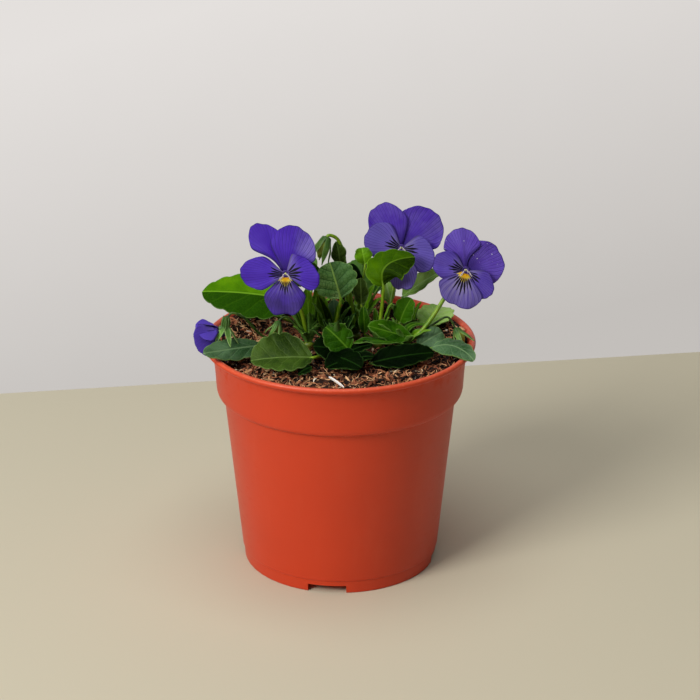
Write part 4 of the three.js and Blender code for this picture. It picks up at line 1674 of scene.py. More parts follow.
@dataclass(frozen=True)
class Stem:
    """One leafy stem with its leaves, flower stalks and buds.

    The foot is its place on the soil. Tuft is how many stipules stand round its crown, up to tall
    millimetres long and all in the finish young, and low holds the base, tip and width of each
    further young leaf beside them.
    """

    name: str
    foot: tuple[float, float]
    leaves: tuple[Leaf, ...]
    flowers: tuple[Flower, ...] = ()
    buds: tuple[Bud, ...] = ()
    tuft: int = 9
    low: tuple[tuple[Point, Point, float], ...] = ()
    tall: float = 17.0
    young: LeafFinish = STIPULE

    def stipules(self) -> Shape:
        """The lance-shaped stipules and young leaves at the crown.

        Each stipule leaves the crown in its own direction, at its own slope, and bends as it goes.
        The low young leaves lie where they are placed.

        Returns:
            The blades in one shape.
        """
        x, y = self.foot
        draw = np.random.default_rng(SEED + len(self.name) * 7 + int(x * 3 + y))
        shape = Shape()
        for number in range(self.tuft):
            turn = 2 * math.pi * (number + draw.uniform(0, 0.6)) / self.tuft
            rise = math.radians(draw.uniform(*TUFT_RISE))
            length = draw.uniform(TUFT_LEAST, self.tall)
            out = np.array([math.cos(turn), math.sin(turn), 0.0])
            up = np.array([0.0, 0.0, 1.0])
            base = np.array([x, y, CROWN_HEIGHT]) + 0.7 * out
            mid = base + (out * math.cos(rise) * 0.35 + up * math.sin(rise) * 0.62) * length
            tip = base + (out * math.cos(rise) + up * math.sin(rise)) * length
            face = unit(out * -math.sin(rise) + up * math.cos(rise) + draw.uniform(-0.3, 0.3, 3))
            width, fold = draw.uniform(*TUFT_WIDTH), draw.uniform(*TUFT_FOLD)
            Leaf(
                tuple(base), tuple(tip), tuple(face), width, STIPULE, mid=tuple(mid), fold=fold,
                scallops=4, tip_power=0.85, wave=0.25, rows=YOUNG_ROWS, columns=YOUNG_COLUMNS,
            ).blade(shape)
        for base, tip, width in self.low:
            Leaf(
                base, tip, LOW_FACE, width, STIPULE, scallops=4,
                rows=YOUNG_ROWS, columns=YOUNG_COLUMNS,
            ).blade(shape)
        return shape

    def build(self) -> list[Object]:
        """Builds the stalks, each leaf's blade, the sepals and the buds of the stem.

        Returns:
            The new objects.
        """
        node = (f"stem_{self.name}",)
        x, y = self.foot
        root = np.array([x, y, CROWN_HEIGHT])
        stalks, thin, sepals, buds = Shape(), Shape(), Shape(), Shape()
        bottom = SOIL_HEIGHT - HOLE_DEPTH + GAP
        heights = np.linspace(bottom, CROWN_HEIGHT + 1.7, POST_RINGS)
        swell = np.exp(-(((heights - CROWN_HEIGHT) / 1.8) ** 2))
        radius = STEM_RADIUS + (CROWN_RADIUS - STEM_RADIUS) * swell
        closing = smooth(CROWN_HEIGHT - 0.2, CROWN_HEIGHT + 1.75, heights)
        radius = radius * np.sqrt(np.clip(1 - closing, 0.04, 1))
        post = np.stack([np.full(POST_RINGS, x), np.full(POST_RINGS, y), heights], axis=-1)
        stalks.add(*tube(post, radius, POST_SIDES))
        made = []
        for number, leaf in enumerate(self.leaves):
            shape = Shape()
            leaf.blade(shape)
            if leaf.petiole:
                leaf.stalk(stalks, root)
            title = f"leaf_{self.name}_{number + 1}"
            made.append(Piece(title, shape, leaf.finish, "leaf", node).build())
        for flower in self.flowers:
            flower.calyx(sepals, thin if flower.thin < 1 else stalks, root)
        for bud in self.buds:
            bud.build(buds, sepals, thin if bud.thin < 1 else stalks, root)
        rest = (
            ("stalks", stalks, STALK), ("stipules", self.stipules(), self.young),
            ("thin_stalks", thin, DUSKY), ("sepals", sepals, SEPAL), ("buds", buds, BUD),
        )
        for kind, shape, finish in rest:
            if shape.count:
                made.append(Piece(f"{kind}_{self.name}", shape, finish, "leaf", node).build())
        return made


# The plant itself

STALK = StalkFinish()
DUSKY = StalkFinish("stalk_dusky", srgb(72, 104, 30), srgb(32, 58, 14))
SEPAL = SepalFinish()
BUD = BudFinish()
THROAT = TintFinish("throat", srgb(42, 22, 96), srgb(70, 44, 130), 0.6)
SPUR = TintFinish("spur", srgb(112, 92, 176), srgb(84, 60, 158), 0.5, 1.6)
STYLE = TintFinish("style", srgb(150, 164, 84), srgb(196, 196, 128), 0.4)
BEARD = TintFinish("beard", srgb(180, 168, 182), srgb(218, 210, 206), 0.6)

UPPER, SIDE, LOWER = PetalKind.UPPER, PetalKind.SIDE, PetalKind.LOWER

LEFT = Flower(
    "left", (-20.2, -12, 121), (-0.05, -0.9, 0.42), ((-15, -2.5, 104),),
    (
        Petal(120, 23, 15, -12, 0.65, UPPER, 0.8, skew=0.12, claw=3),
        Petal(76, 18.8, 20, -8, 1.4, UPPER, -0.4, skew=0.08, fade=0.75),
        Petal(178, 17, 14, 4, 2, SIDE, -0.5),
        Petal(9, 11.8, 16, 5, 2.1, SIDE, -0.6, skew=-0.25),
        Petal(-90, 16.2, 17, 9, 2.6, LOWER, -0.8, 0.06),
    ),
    Tone("left", srgb(64, 27, 160), srgb(70, 38, 168), srgb(54, 38, 106), srgb(30, 10, 84),
         srgb(82, 52, 180)),
)
MIDDLE = Flower(
    "middle", (23.7, 12, 122.9), (0.02, -0.9, 0.42), ((19.5, 13, 99),),
    (
        Petal(117, 19.5, 17, -8, 1.4, UPPER, 0.4),
        Petal(46, 20.1, 21.5, -12, 0.65, UPPER, 0.4, fade=0.35),
        Petal(157, 14.8, 16, 4, 2, SIDE, -0.5),
        Petal(-17, 13.4, 15, 5, 2.1, SIDE, -0.6, skew=-0.16),
        Petal(-88, 16.8, 12.5, 9, 2.6, LOWER, -0.8, 0.05),
    ),
    Tone("middle", srgb(70, 38, 156), srgb(90, 78, 162), srgb(132, 118, 206), srgb(36, 16, 96),
         srgb(106, 86, 180)),
)
RIGHT = Flower(
    "right", (47.4, -8, 121), (0.05, -0.92, 0.38), ((33, -3.5, 97),),
    (
        Petal(96, 16.4, 16, -8, 1.4, UPPER, 0.4, claw=3),
        Petal(23, 15.7, 19, -12, 0.65, UPPER, 0.4),
        Petal(161, 12.8, 12, 4, 2, SIDE, -0.5),
        Petal(-43, 13.2, 11.4, 5, 2.1, SIDE, -0.6, skew=-0.06),
        Petal(-107, 14.4, 19, 9, 2.6, LOWER, -0.8, 0.04, skew=0.06),
    ),
    Tone("right", srgb(92, 64, 172), srgb(80, 60, 158), srgb(92, 80, 146), srgb(36, 16, 94),
         srgb(106, 88, 184), specks=0.6, pallor=0.85, glow=14.0, ink=10.4),
)
NODDING = Flower(
    "nodding", (-45.9, -13, 99.4), (-0.86, -0.1, -0.48), ((-28.7, -6, 93.6), (-36.7, -11, 103.7)),
    (
        Petal(118, 8.4, 12, 52, 0.8, UPPER, ruffle=0.2),
        Petal(56, 9, 12, 54, 1.2, UPPER, ruffle=0.2),
        Petal(194, 9.6, 12, 56, 1.6, SIDE, ruffle=0.2),
        Petal(2, 11.4, 15.5, 60, 1.6, SIDE, ruffle=0.2),
        Petal(-70, 12.5, 11, 8, 2, LOWER, ruffle=0.2),
    ),
    Tone("nodding", srgb(76, 50, 180), srgb(80, 56, 184), srgb(70, 48, 168), srgb(38, 18, 104),
         srgb(98, 76, 192)),
    sepal=8.4, sepal_lean=53, sepal_axis=(-0.1, -0.05, -1), sepal_angles=(128, 62, 6, 196, 290),
    hook=3.2, beard=0.5, thin=0.6, spur_size=0.4,
)
FLOWERS = (LEFT, MIDDLE, RIGHT, NODDING)

STEMS = (
    Stem(
        "left", (-12, 1),
        (
            Leaf((-14.5, 8, 102.5), (-53.6, 13, 105.2), (0, -0.62, 0.78), 19.5, HALF_SHADED, fold=-10,
                 arch=2.4, scallops=7),
            Leaf((-29.9, -7, 90.6), (-51, -27, 95.2), (0.1, -0.66, 0.74), 9.6, GREY, fold=-6,
                 arch=0.5, scallops=5),
        ),
        (NODDING, LEFT),
        (Bud((-23.4, -2, 98.2), (-0.35, -0.2, -0.9), 6, 3.2, ((-17, 0, 96), (-20.5, -1, 100)),
             0.6, 1.8),),
        tuft=12, tall=20, low=(
            ((-11.9, 3, 94), (-12.8, 5, 109.4), 4.6), ((-8.6, 3, 93), (-8.2, 6, 110.2), 5.2),
        ),
    ),
    Stem(
        "front_left", (-1, -9),
        (
            Leaf((-10.6, -19, 90.2), (-33.5, -24, 91), (0, -0.45, 0.9), 20.5, OLIVE, fold=22,
                 scallops=6),
            Leaf((3.6, -15, 91.6), (-5.4, -12, 100), (0.1, -0.8, 0.6), 11.5, GRASS, fold=8),
            Leaf((5, -12.5, 89), (-10, -15.5, 93.5), (-0.1, -0.6, 0.8), 12.5, DEEP_SHADE, fold=6,
                 scallops=5),
            Leaf((8, -17.5, 89.4), (-5, -26.5, 89.2), (0, -0.3, 1), 12, DEEP_SHADE),
            Leaf((-3.5, -17, 90.4), (8, -27.5, 89.6), (0, -0.45, 0.9), 11, DEEP_SHADE, fold=6),
        ),
        tuft=15, young=DEEP_SHADE, low=(
            ((3.4, -14.5, 90.6), (12.4, -17, 94.6), 5.4),
            ((4, -20.5, 89.6), (12.6, -22.5, 92), 5.2),
            ((-10.6, -27, 89.4), (-15.6, -29.5, 87.7), 4),
        ),
    ),
    Stem(
        "centre", (-3, 2),
        (
            Leaf((0.3, -4, 108.6), (-3.8, 0.5, 121.6), (0.05, -0.9, 0.42), 17, BLUE, fold=7,
                 arch=0.8, scallops=5),
            Leaf((-0.7, 4, 92), (-2.5, 6, 104.5), (0, -1, 0.2), 6.5, GREY),
            Leaf((-8, 5, 111), (-11.8, 5, 120.1), (0.2, -0.9, 0.4), 5, GRASS),
            Leaf((2.6, 3, 92), (2.4, 4, 104.5), (0, -1, 0.2), 4.5, DEEP_SHADE),
            Leaf((-3, 1.5, 88.6), (-8.7, 0, 109), (0.2, -0.9, 0.3), 5.5, LIME, arch=0.6, scallops=3,
                 wave=0, tip_power=0.9, petiole=False),
        ),
        tuft=13, tall=22,
    ),
    Stem(
        "high", (6, 10),
        (
            Leaf((9.6, 4, 119.6), (8.4, 6, 125.6), (0, -0.8, 0.6), 6.8, STIPULE),
            Leaf((7.5, 6, 105), (4.4, 8, 118.5), (0.2, -0.9, 0.2), 6, DEEP_SHADE),
            Leaf((0.2, 10, 117), (-1.4, 9.5, 127), (0.2, -0.9, 0.4), 6, OLIVE, tip_power=0.8),
        ),
        buds=(Bud((-4.8, 7, 129.2), (-0.4, -0.15, -0.9), 9.8, 5.2, ((3, 11, 112), (-0.8, 9, 128)),
                  spread=1.4),),
    ),
    Stem(
        "lime", (15, 2),
        (
            Leaf((16.6, -5, 114), (28.8, 2, 123.2), (-0.1, -0.55, 0.8), 16.5, LIME,
                 mid=(13, -6, 125), fold=-14, scallops=6),
            Leaf((19.7, 18, 99.7), (18.1, 20, 106.5), (0, -0.9, 0.4), 6, MINT),
            Leaf((8.3, 3, 103.5), (8, 4, 114), (0, -1, 0.2), 6, OLIVE),
            Leaf((9.6, 1, 92.5), (9, 2, 103), (0, -1, 0.2), 4.5, GRASS),
        ),
        (MIDDLE,),
    ),
    Stem(
        "right", (24, -4),
        (
            Leaf((27.3, -6, 93.4), (10.8, -10, 99.6), (0, -0.6, 0.8), 9.5, GRASS, arch=-0.3,
                 scallops=5),
            Leaf((24.2, -11.5, 92.6), (5.2, -16, 94.8), (0, 0.1, 1), 8, GRASS, fold=8, scallops=4),
            Leaf((23.3, 3, 96.2), (27.6, 3, 106), (-0.4, -0.8, 0.3), 9, GRASS),
            Leaf((30, -7, 90), (39.5, -2.5, 94.2), (0.1, -0.7, 0.7), 9.5, GREY),
            Leaf((24.5, -3.5, 89), (34.8, 0.5, 95.6), (0, -0.4, 0.9), 2.8, GRASS, mid=(24, 0, 99),
                 scallops=3, wave=0, tip_power=0.9, petiole=False),
        ),
        (RIGHT,),
        (Bud((44.7, -2, 95.2), (0.45, -0.3, -0.72), 7.4, 4, ((36, -1.5, 97), (41.5, -0.5, 99.5)),
             0.6, 2.2),),
    ),
    Stem(
        "front_right", (15, -15),
        (
            Leaf((11.5, -22, 89.2), (35.8, -15, 90.6), (0, -0.5, 0.87), 11, DEEP_SHADE, scallops=6),
            Leaf((35, -13, 91.8), (50.4, -24, 91), (0, -0.35, 0.93), 10, GREY,
                 mid=(43.5, -16.5, 97), fold=-8, scallops=5),
        ),
        tuft=0,
    ),
    Stem(
        "back_right", (27, 12),
        (
            Leaf((24.7, 15, 102.3), (39.2, 18, 111.3), (-0.3, -0.6, 0.7), 8.5, MINT, fold=30,
                 scallops=5),
            Leaf((34, 10, 91.2), (41, 25, 94.2), (-0.1, -0.25, 0.95), 15, MINT, fold=8, scallops=5),
        ),
    ),
    Stem(
        "back", (8, 24),
        (
            Leaf((14, 30, 98), (22, 46, 103), (0, 0.5, 0.85), 15, GRASS, scallops=5),
            Leaf((4, 33, 95), (-2, 50, 97), (0, 0.4, 0.9), 14, OLIVE, scallops=5),
            Leaf((7, 27, 100), (9, 36, 110), (0, 0.85, 0.5), 13, GRASS),
        ),
    ),
    Stem(
        "back_left", (-14, 19),
        (
            Leaf((-19, 27, 98), (-30, 40, 102), (0, 0.45, 0.87), 15, OLIVE, scallops=5),
            Leaf((-26, 19, 93), (-44, 25, 95), (-0.2, 0.2, 0.95), 12, GRASS),
            Leaf((-11, 26, 104), (-16, 36, 114), (-0.1, 0.8, 0.6), 13, BLUE),
        ),
    ),
)


# The pot, the soil and the stage


@dataclass
class Pot:
    """The nursery pot: a tapered wall under a wider band with a lip, and channels in its foot.

    Each size is in millimetres and the channel turn in degrees. Sizes across are radii, but for
    the width of a channel.
    """

    height: float = 91.0
    lip: float = 52.5
    rim: float = 49.2
    band: float = 48.4
    band_height: float = 80.0
    band_foot: float = 47.9
    band_foot_height: float = 71.8
    wall_top: float = 45.1
    wall_top_height: float = 69.3
    foot: float = 38.4
    foot_height: float = 5.2
    foot_step: float = 0.4
    wall: float = 1.2
    floor: float = 1.6
    channel_width: float = 15.0
    channel_height: float = 3.2
    channel_start: float = 15.0
    channel_turn: float = 7.9
    channel_count: int = 4
    drain: float = 3.0
    drain_distance: float = 25.0
    drain_span: Span = (-1.0, 8.0)
    drain_sides: int = 32
    sides: int = 160
    corner: float = 0.5
    wall_row: int = 3

    def outside(self) -> list[Span]:
        """The outer outline as radius and height, from the axis under the floor up to the lip."""
        return [
            (0, 0), (self.foot - 0.4, 0), (self.foot, self.foot_height),
            (self.foot + self.foot_step, self.foot_height + 0.3),
            (self.wall_top, self.wall_top_height),
            (self.wall_top + 1.5, self.wall_top_height + 0.5),
            (self.band_foot - 0.4, self.band_foot_height - 1.3),
            (self.band_foot, self.band_foot_height), (self.band, self.band_height),
            (self.rim, self.height - 3.2), (self.lip - 0.6, self.height - 2.2),
            (self.lip, self.height - 1.4), (self.lip - 0.1, self.height - 0.5),
            (self.lip - 0.7, self.height),
        ]

    def inside(self) -> list[Span]:
        """The inner outline as radius and height, from the lip down to the axis."""
        return [
            (self.lip - 2.2, self.height - 0.3), (self.rim - self.wall, self.height - 3),
            (self.band_foot + 0.2 - self.wall, self.band_foot_height + 1),
            (self.wall_top - self.wall, self.wall_top_height),
            (self.foot - 0.2 - self.wall, self.foot_height),
            (self.foot - 1.6 - self.wall, self.floor), (0, self.floor),
        ]

    def turned(self, profile: list[Span]) -> Mesh:
        """A closed mesh of a profile turned round the axis, with its corners slightly rounded."""
        shape = Shape()
        shape.add(*lathe(rounded(profile, self.corner), self.sides))
        return shape.mesh("turned")

    def turns(self) -> list[float]:
        """The direction of each channel, in radians."""
        step = 360 / self.channel_count
        return [math.radians(step * n - self.channel_turn) for n in range(self.channel_count)]

    def boxes(self, margin: float, reach: float, low: float) -> Mesh:
        """One box for each channel.

        Args:
            margin: How much it is grown on its sides, its top and its inner end.
            reach: How far out it goes.
            low: The height of its underside.

        Returns:
            The boxes in one mesh.
        """
        shape = Shape()
        start, side = self.channel_start - margin, self.channel_width / 2 + margin
        high = self.channel_height + margin
        ring = np.array([[start, -side], [reach, -side], [reach, side], [start, side]])
        for turn in self.turns():
            spin = np.array([[math.cos(turn), math.sin(turn)], [-math.sin(turn), math.cos(turn)]])
            flat = ring @ spin
            levels = [np.column_stack([flat, np.full(len(ring), level)]) for level in (low, high)]
            shape.add(*ring_tube(np.stack(levels)))
        return shape.mesh("channels")

    def drains(self) -> Mesh:
        """One upright cylinder through the roof of each channel."""
        shape = Shape()
        angles = around(self.drain_sides)
        circle = self.drain * np.stack([np.cos(angles), np.sin(angles)], axis=-1)
        for turn in self.turns():
            ring = circle + self.drain_distance * np.array([math.cos(turn), math.sin(turn)])
            levels = [np.column_stack([ring, np.full(len(ring), z)]) for z in self.drain_span]
            shape.add(*ring_tube(np.stack(levels)))
        return shape.mesh("drains")

    def combined(self, mesh: Mesh, tool: Mesh, operation: str) -> Mesh:
        """A mesh joined with, cut by or cut down to a tool's mesh.

        Args:
            mesh: The mesh that is worked on.
            tool: The mesh that works on it.
            operation: UNION, DIFFERENCE or INTERSECT.

        Returns:
            A new mesh. The two that were given are removed.
        """
        target, cutter = bpy.data.objects.new("target", mesh), bpy.data.objects.new("cutter", tool)
        for item in (target, cutter):
            link(item)
        modifier = target.modifiers.new("combine", "BOOLEAN")
        modifier.operation, modifier.solver, modifier.object = operation, "EXACT", cutter
        graph = bpy.context.evaluated_depsgraph_get()
        result = bpy.data.meshes.new_from_object(target.evaluated_get(graph))
        for item in (target, cutter):
            data = item.data
            bpy.data.objects.remove(item)
            bpy.data.meshes.remove(data)
        return result

    def build(self) -> Object:
        """Builds the pot from its turned shell, its channels and its drain holes.

        The points that lie well inside the outer outline are marked as inside, for the dust.

        Returns:
            The pot.
        """
        shell = self.turned([*self.outside(), *self.inside()])
        envelope = self.turned([*self.outside(), (0, self.height)])
        roofs = self.combined(self.boxes(self.wall, self.foot + 5, 0.2), envelope, "INTERSECT")
        shell = self.combined(shell, roofs, "UNION")
        shell = self.combined(shell, self.boxes(0, self.lip + 5, -2), "DIFFERENCE")
        shell = self.combined(shell, self.drains(), "DIFFERENCE")
        shell.name = "pot_body"
        count = len(shell.vertices)
        places = np.empty(count * 3)
        shell.vertices.foreach_get("co", places)
        radius = np.hypot(places[0::3], places[1::3]) / MM
        height = places[2::3] / MM
        outline = np.array(self.outside()[self.wall_row:])
        outer = np.interp(height, outline[:, 1], outline[:, 0])
        inside = shell.attributes.new("inside", "FLOAT", "POINT")
        inside.data.foreach_set("value", (radius < outer - 0.6).astype(float))
        return Piece("pot_body", Shape(), PotFinish(), "pot", ("pot",), crease=38).dress(shell)


@dataclass(frozen=True)
class ChipMix:
    """How chips are made.

    The share is that of all chips, the size their least and greatest length, slim their width as
    a share of the length, and the tilt their usual tip from the level in degrees.
    """

    share: float
    size: Span
    slim: float
    tilt: float


MIXES = {
    ChipKind.PEAT: ChipMix(0.36, (1.2, 3.4), 0.42, 22),
    ChipKind.BARK: ChipMix(0.36, (1.4, 4.0), 0.30, 24),
    ChipKind.COIR: ChipMix(0.24, (1.6, 4.4), 0.22, 26),
    ChipKind.PALE: ChipMix(0.04, (1.2, 3.2), 0.30, 20),
}
FIBRE_MIX = ChipMix(1, (3.0, 7.0), 0.055, 16)
CHIP_RINGS, CHIP_SIDES = 5, 4

# The waves of the bed: how fast each runs along x and y, and its phase
RIPPLES = ((0.55, 0.2, 0.0), (0.31, -0.47, 1.3), (0.12, 0.62, 2.1))

# The bed's side as radius and height, from under it up
SOIL_SIDE = ((36.6, 5.0), (43.2, 69.0), (46.3, 72.8), (47.1, 84.0))


@dataclass
class Soil:
    """The soil: a lumpy bed, and on it loose chips, fibres and one white sliver.

    Behind and at the sides the bed is banked up on the pot's wall, by up to most above its usual
    height, and spills outwards there as the wall widens to the lip.
    """

    edge: float = 47.3
    mound_radius: float = 48.0
    bank: float = 5.6
    most: float = 4.2
    spread: float = 0.045
    relief: float = 0.55
    chips: int = 5600
    fibres: int = 900
    sides: int = 180
    rings: int = 70
    sliver_from: Point = (-4.1, -31.1, 87.3)
    sliver_to: Point = (1.5, -40.3, 86.9)

    def level(self, x: Array, y: Array) -> Array:
        """The height of the bed.

        Crossed ripples and finer lumps lie on a low mound that rises to the back and to the wall.

        Args:
            x: Places across.
            y: Places from front to back.

        Returns:
            The height at each place.
        """
        ripples = sum(np.sin(a * x + b * y + phase) for a, b, phase in RIPPLES)
        mound = 1 - (x * x + y * y) / self.mound_radius ** 2
        fine = np.sin(1.7 * x + 0.9 * y) * np.sin(1.3 * y - 0.8 * x + 0.7)
        heap = 2.2 * smooth(0.25, 1.0, (0.9 * y - 0.35 * x + 10) / 58)
        level = SOIL_HEIGHT + self.relief * (0.55 * ripples + 0.8 * mound - 0.7)
        level = level + 0.28 * fine - 0.45
        return np.minimum(level + heap + self.bank * self.banked(x, y), SOIL_HEIGHT + self.most)

    def banked(self, x: Array, y: Array) -> Array:
        """How far the soil is banked up: 1 at the wall behind, 0 in front and inside."""
        lower = 1 - 0.6 * smooth(24, 40, y) * smooth(-5, 15, x)
        return smooth(0.8, 1.0, np.hypot(x, y) / self.edge) * smooth(-20, 4, y) * lower

    def spill(self, x: Array, y: Array) -> Array:
        """How many times further out the soil lies where it is banked up to the lip."""
        return 1 + self.spread * self.banked(x, y)

    def bed(self) -> Shape:
        """The bed: rings of points from under it up its side, and then in to the middle."""
        turns = around(self.sides)[None]
        radius = np.linspace(0.4, self.edge, self.rings)[::-1, None]
        x, y = radius * np.cos(turns), radius * np.sin(turns)
        spill = self.spill(x, y)
        top = np.stack([x * spill, y * spill, self.level(x, y)], axis=-1)
        wall = np.array(SOIL_SIDE)
        side = np.stack([
            wall[:, :1] * np.cos(turns), wall[:, :1] * np.sin(turns), wall[:, 1:] + 0 * turns
        ], axis=-1)
        shape = Shape()
        shape.add(*ring_tube(np.concatenate([side, top])))
        return shape

    def scatter(self, draw: np.random.Generator, count: int, mix: ChipMix) -> Shape:
        """Loose chips as one shape.

        Each chip is a bent spindle of four-sided rings. Its half width is half of slim x length x
        (1 - w2) to the 0.4, with w from -1 to 1 along it, and it bends sideways as w2. It is turned
        at random round the vertical and about its own length, tipped, and laid on the bed or on
        others. Chips at the back and at the left are lighter: partly paler soil there, partly
        painted light against the shade of the leaves.

        Args:
            draw: The source of random numbers.
            count: How many chips.
            mix: Their sizes and their tilt.

        Returns:
            The chips, each with its own shade.
        """
        radius = (self.edge - 1.0) * np.sqrt(draw.uniform(0.0, 1.0, count))
        place = draw.uniform(0, 2 * math.pi, count)
        x, y = radius * np.cos(place), radius * np.sin(place)
        length = draw.uniform(*mix.size, count)[:, None, None]
        width = length * mix.slim * draw.uniform(0.6, 1.3, count)[:, None, None]
        thick = width * draw.uniform(0.35, 0.9, count)[:, None, None]
        bend = draw.uniform(-0.32, 0.32, count)[:, None, None] * length
        w = np.linspace(-1, 1, CHIP_RINGS)[None, :, None]
        turns = around(CHIP_SIDES)[None, None]
        taper = np.maximum(1 - w * w, 0.12) ** 0.4
        jag = 1 + draw.uniform(-0.3, 0.3, (count, CHIP_RINGS, CHIP_SIDES))
        local = np.stack([
            w * length / 2 + 0 * turns,
            width / 2 * taper * np.cos(turns) * jag + bend * (w * w - 0.4),
            thick / 2 * taper * np.sin(turns) * jag,
        ], axis=-1)
        yaw = draw.uniform(0, 2 * math.pi, count)
        pitch = draw.normal(0, math.radians(mix.tilt), count)
        roll = draw.uniform(0, 2 * math.pi, count)
        zero, one = np.zeros(count), np.ones(count)

        def matrix(*rows: tuple[Array, Array, Array]) -> Array:
            """Rows of arrays as one matrix for each chip."""
            return np.moveaxis(np.array(rows), -1, 0)

        cos, sin = np.cos(yaw), np.sin(yaw)
        about_z = matrix((cos, -sin, zero), (sin, cos, zero), (zero, zero, one))
        cos, sin = np.cos(pitch), np.sin(pitch)
        about_y = matrix((cos, zero, sin), (zero, one, zero), (-sin, zero, cos))
        cos, sin = np.cos(roll), np.sin(roll)
        about_x = matrix((one, zero, zero), (zero, cos, -sin), (zero, sin, cos))
        points = np.einsum("nij,nrsj->nrsi", about_z @ about_y @ about_x, local)
        height = self.level(x, y) + draw.uniform(-0.1, 1.3, count) * (1 - 0.35 * radius / self.edge)
        points += np.stack([x, y, height], axis=-1)[:, None, None]
        out = np.hypot(points[..., 0], points[..., 1])
        points[..., :2] *= np.minimum(1, self.edge / np.maximum(out, TINY))[..., None]
        points[..., :2] *= self.spill(x, y)[:, None, None, None]
        # Painted light and tone: chips at the back and at the left are lighter, partly paler soil
        # there, partly painted light against the shade of the leaves
        painted_light_and_tone = 0.45 * np.maximum(smooth(-4, 26, y), smooth(8, 32, -x))
        shade = (draw.uniform(0, 1, count) + painted_light_and_tone)[:, None, None]
        shape = Shape()
        shape.add(points, repeated(points), shade=np.broadcast_to(shade, points.shape[:3]))
        return shape

    def sliver(self) -> Shape:
        """One long flat white sliver that lies on the soil near the front."""
        start, end = np.array(self.sliver_from), np.array(self.sliver_to)
        s = np.linspace(0, 1, 14)[:, None]
        path = start + (end - start) * s + np.array([0, 0, 0.25]) * np.sin(math.pi * s)
        radius = 0.62 * (1 - 0.55 * np.abs(2 * s[:, 0] - 1) ** 6)
        shape = Shape()
        shape.add(*tube(path, radius, 8, flat=0.45), shade=0.9)
        return shape

    def build(self) -> list[Object]:
        """Builds the bed, the chips of each kind, the fibres and the sliver.

        Returns:
            The new objects.
        """
        draw = np.random.default_rng(SEED)
        made = [Piece("soil_bed", self.bed(), SoilFinish(), "soil", ("soil",)).build()]
        loose = [
            (f"chips_{kind.name.lower()}", kind, int(self.chips * mix.share), mix)
            for kind, mix in MIXES.items()
        ]
        for name, kind, count, mix in (*loose, ("fibres", ChipKind.COIR, self.fibres, FIBRE_MIX)):
            shape = self.scatter(draw, count, mix)
            finish = ChipFinish(name, kind)
            made.append(Piece(f"soil_{name}", shape, finish, "soil", crease=60).build())
        finish = TintFinish("sliver", srgb(240, 238, 230), srgb(252, 251, 246), 0.6)
        made.append(Piece("soil_sliver", self.sliver(), finish, "soil").build())
        return made


@dataclass(frozen=True)
class Lamp:
    """A square soft light that looks at the plant.

    It stands turn degrees round the plant from the camera's side, to the right, and rise degrees
    above the horizon. Its distance and side are in metres and its power is in watts.
    """

    name: str
    turn: float
    rise: float
    distance: float
    side: float
    power: float
    tint: Colour
    target: Point = (0, 0, 0.07)

    def build(self) -> None:
        """Makes the light and turns it to its target."""
        data = bpy.data.lights.new(self.name, "AREA")
        data.shape, data.size = "SQUARE", self.side
        data.energy, data.color = self.power, self.tint
        lamp = bpy.data.objects.new(self.name, data)
        a, e = math.radians(self.turn), math.radians(self.rise)
        away = Vector((math.sin(a) * math.cos(e), -math.cos(a) * math.cos(e), math.sin(e)))
        lamp.location = Vector(self.target) + away * self.distance
        lamp.rotation_euler = away.to_track_quat("Z", "Y").to_euler()
        link(lamp)


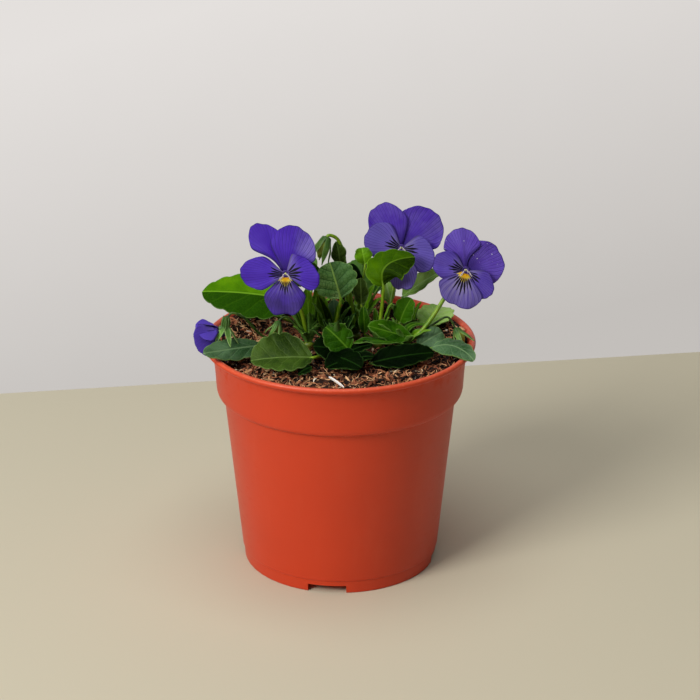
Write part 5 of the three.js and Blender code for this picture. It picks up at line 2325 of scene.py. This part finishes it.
@dataclass
class Studio:
    """The stage: a pale floor, a pale wall behind it, both with painted light, soft light and the
    camera.
    """

    floor_edge: tuple[Point, Point] = ((-159, 161, 0), (176, 212, 0))
    floor_reach: float = 8
    floor_depth: float = 6000.0
    # Painted light: the floor is a little darker to the right, a faint painted fall of light
    floor: StageFinish = StageFinish("floor", srgb(205, 198, 176), srgb(203, 194, 168), 0.9, 0)
    wall_distance: float = 1500.0
    wall_half: float = 1100.0
    wall_span: Span = (-1500.0, 900.0)
    # Painted light: the wall glows, lighter upwards and to the left, instead of being lit by the
    # lamps
    wall: StageFinish = StageFinish(
        "wall", srgb(195, 191, 187), srgb(228, 224, 221), -0.6, 2.2, 1.19, 1.0
    )
    camera_place: Point = (0, -803.3, 405.8)
    camera_pitch: float = -21.72
    camera_yaw: float = 0.28
    lens: float = 114.87
    sensor: float = 36.0
    key: Lamp = Lamp("key", -45, 34, 1.5, 0.6, 17, (1.0, 0.985, 0.96))
    top: Lamp = Lamp("top", -28, 82, 1.6, 1.3, 13, (0.98, 0.985, 1.0))
    sky: Colour = (0.95, 0.97, 1.0)
    sky_strength: float = 0.09

    def sheet(self, name: str, corners: Array, finish: Finish) -> Object:
        """A flat sheet of the stage.

        Args:
            name: The name of the object.
            corners: Its four corners in millimetres, anticlockwise.
            finish: Its finish.

        Returns:
            The sheet.
        """
        shape = Shape()
        shape.add(corners, [np.arange(4)[None]])
        sheet = bpy.data.objects.new(name, shape.mesh(name))
        link(sheet)
        sheet.data.materials.append(finish.material())
        return sheet

    def room(self) -> None:
        """The floor, whose far edge runs a little askew, and the wall well behind it, which glows
        with painted light.
        """
        left, right = np.array(self.floor_edge[0]), np.array(self.floor_edge[1])
        along = right - left
        back = np.stack([left - self.floor_reach * along, right + self.floor_reach * along])
        front = back - np.array([0, self.floor_depth, 0])
        self.sheet("floor", np.stack([front[0], front[1], back[1], back[0]]), self.floor)
        y, wide, (low, high) = self.wall_distance, self.wall_half, self.wall_span
        corners = np.array([[-wide, y, low], [wide, y, low], [wide, y, high], [-wide, y, high]])
        self.sheet("wall", corners, self.wall)

    def light(self) -> None:
        """A large soft key from the front left, a softer light from above and an even pale sky."""
        self.key.build()
        self.top.build()
        world = bpy.data.worlds.new("sky")
        world.use_nodes = True
        sky = world.node_tree.nodes["Background"]
        sky.inputs["Color"].default_value = (*self.sky, 1)
        sky.inputs["Strength"].default_value = self.sky_strength
        bpy.context.scene.world = world
        bpy.context.scene.view_settings.view_transform = "Standard"

    def camera(self) -> None:
        """The camera, at the place and with the narrow view of the picture."""
        data = bpy.data.cameras.new("camera")
        data.lens, data.sensor_width = self.lens, self.sensor
        camera = bpy.data.objects.new("camera", data)
        camera.location = Vector(self.camera_place) * MM
        camera.rotation_euler = (
            math.radians(90 + self.camera_pitch), 0, math.radians(-self.camera_yaw)
        )
        link(camera)
        bpy.context.scene.camera = camera


def main() -> None:
    """Builds the stage and then every part of the potted plant."""
    logging.basicConfig(level=logging.INFO, format="%(name)s %(message)s")
    studio = Studio()
    studio.camera()
    studio.room()
    studio.light()
    Pot().build()
    Soil().build()
    for stem in STEMS:
        stem.build()
    for flower in FLOWERS:
        flower.corolla()
    log.info("sizes written")


if __name__ == "__main__":
    main()
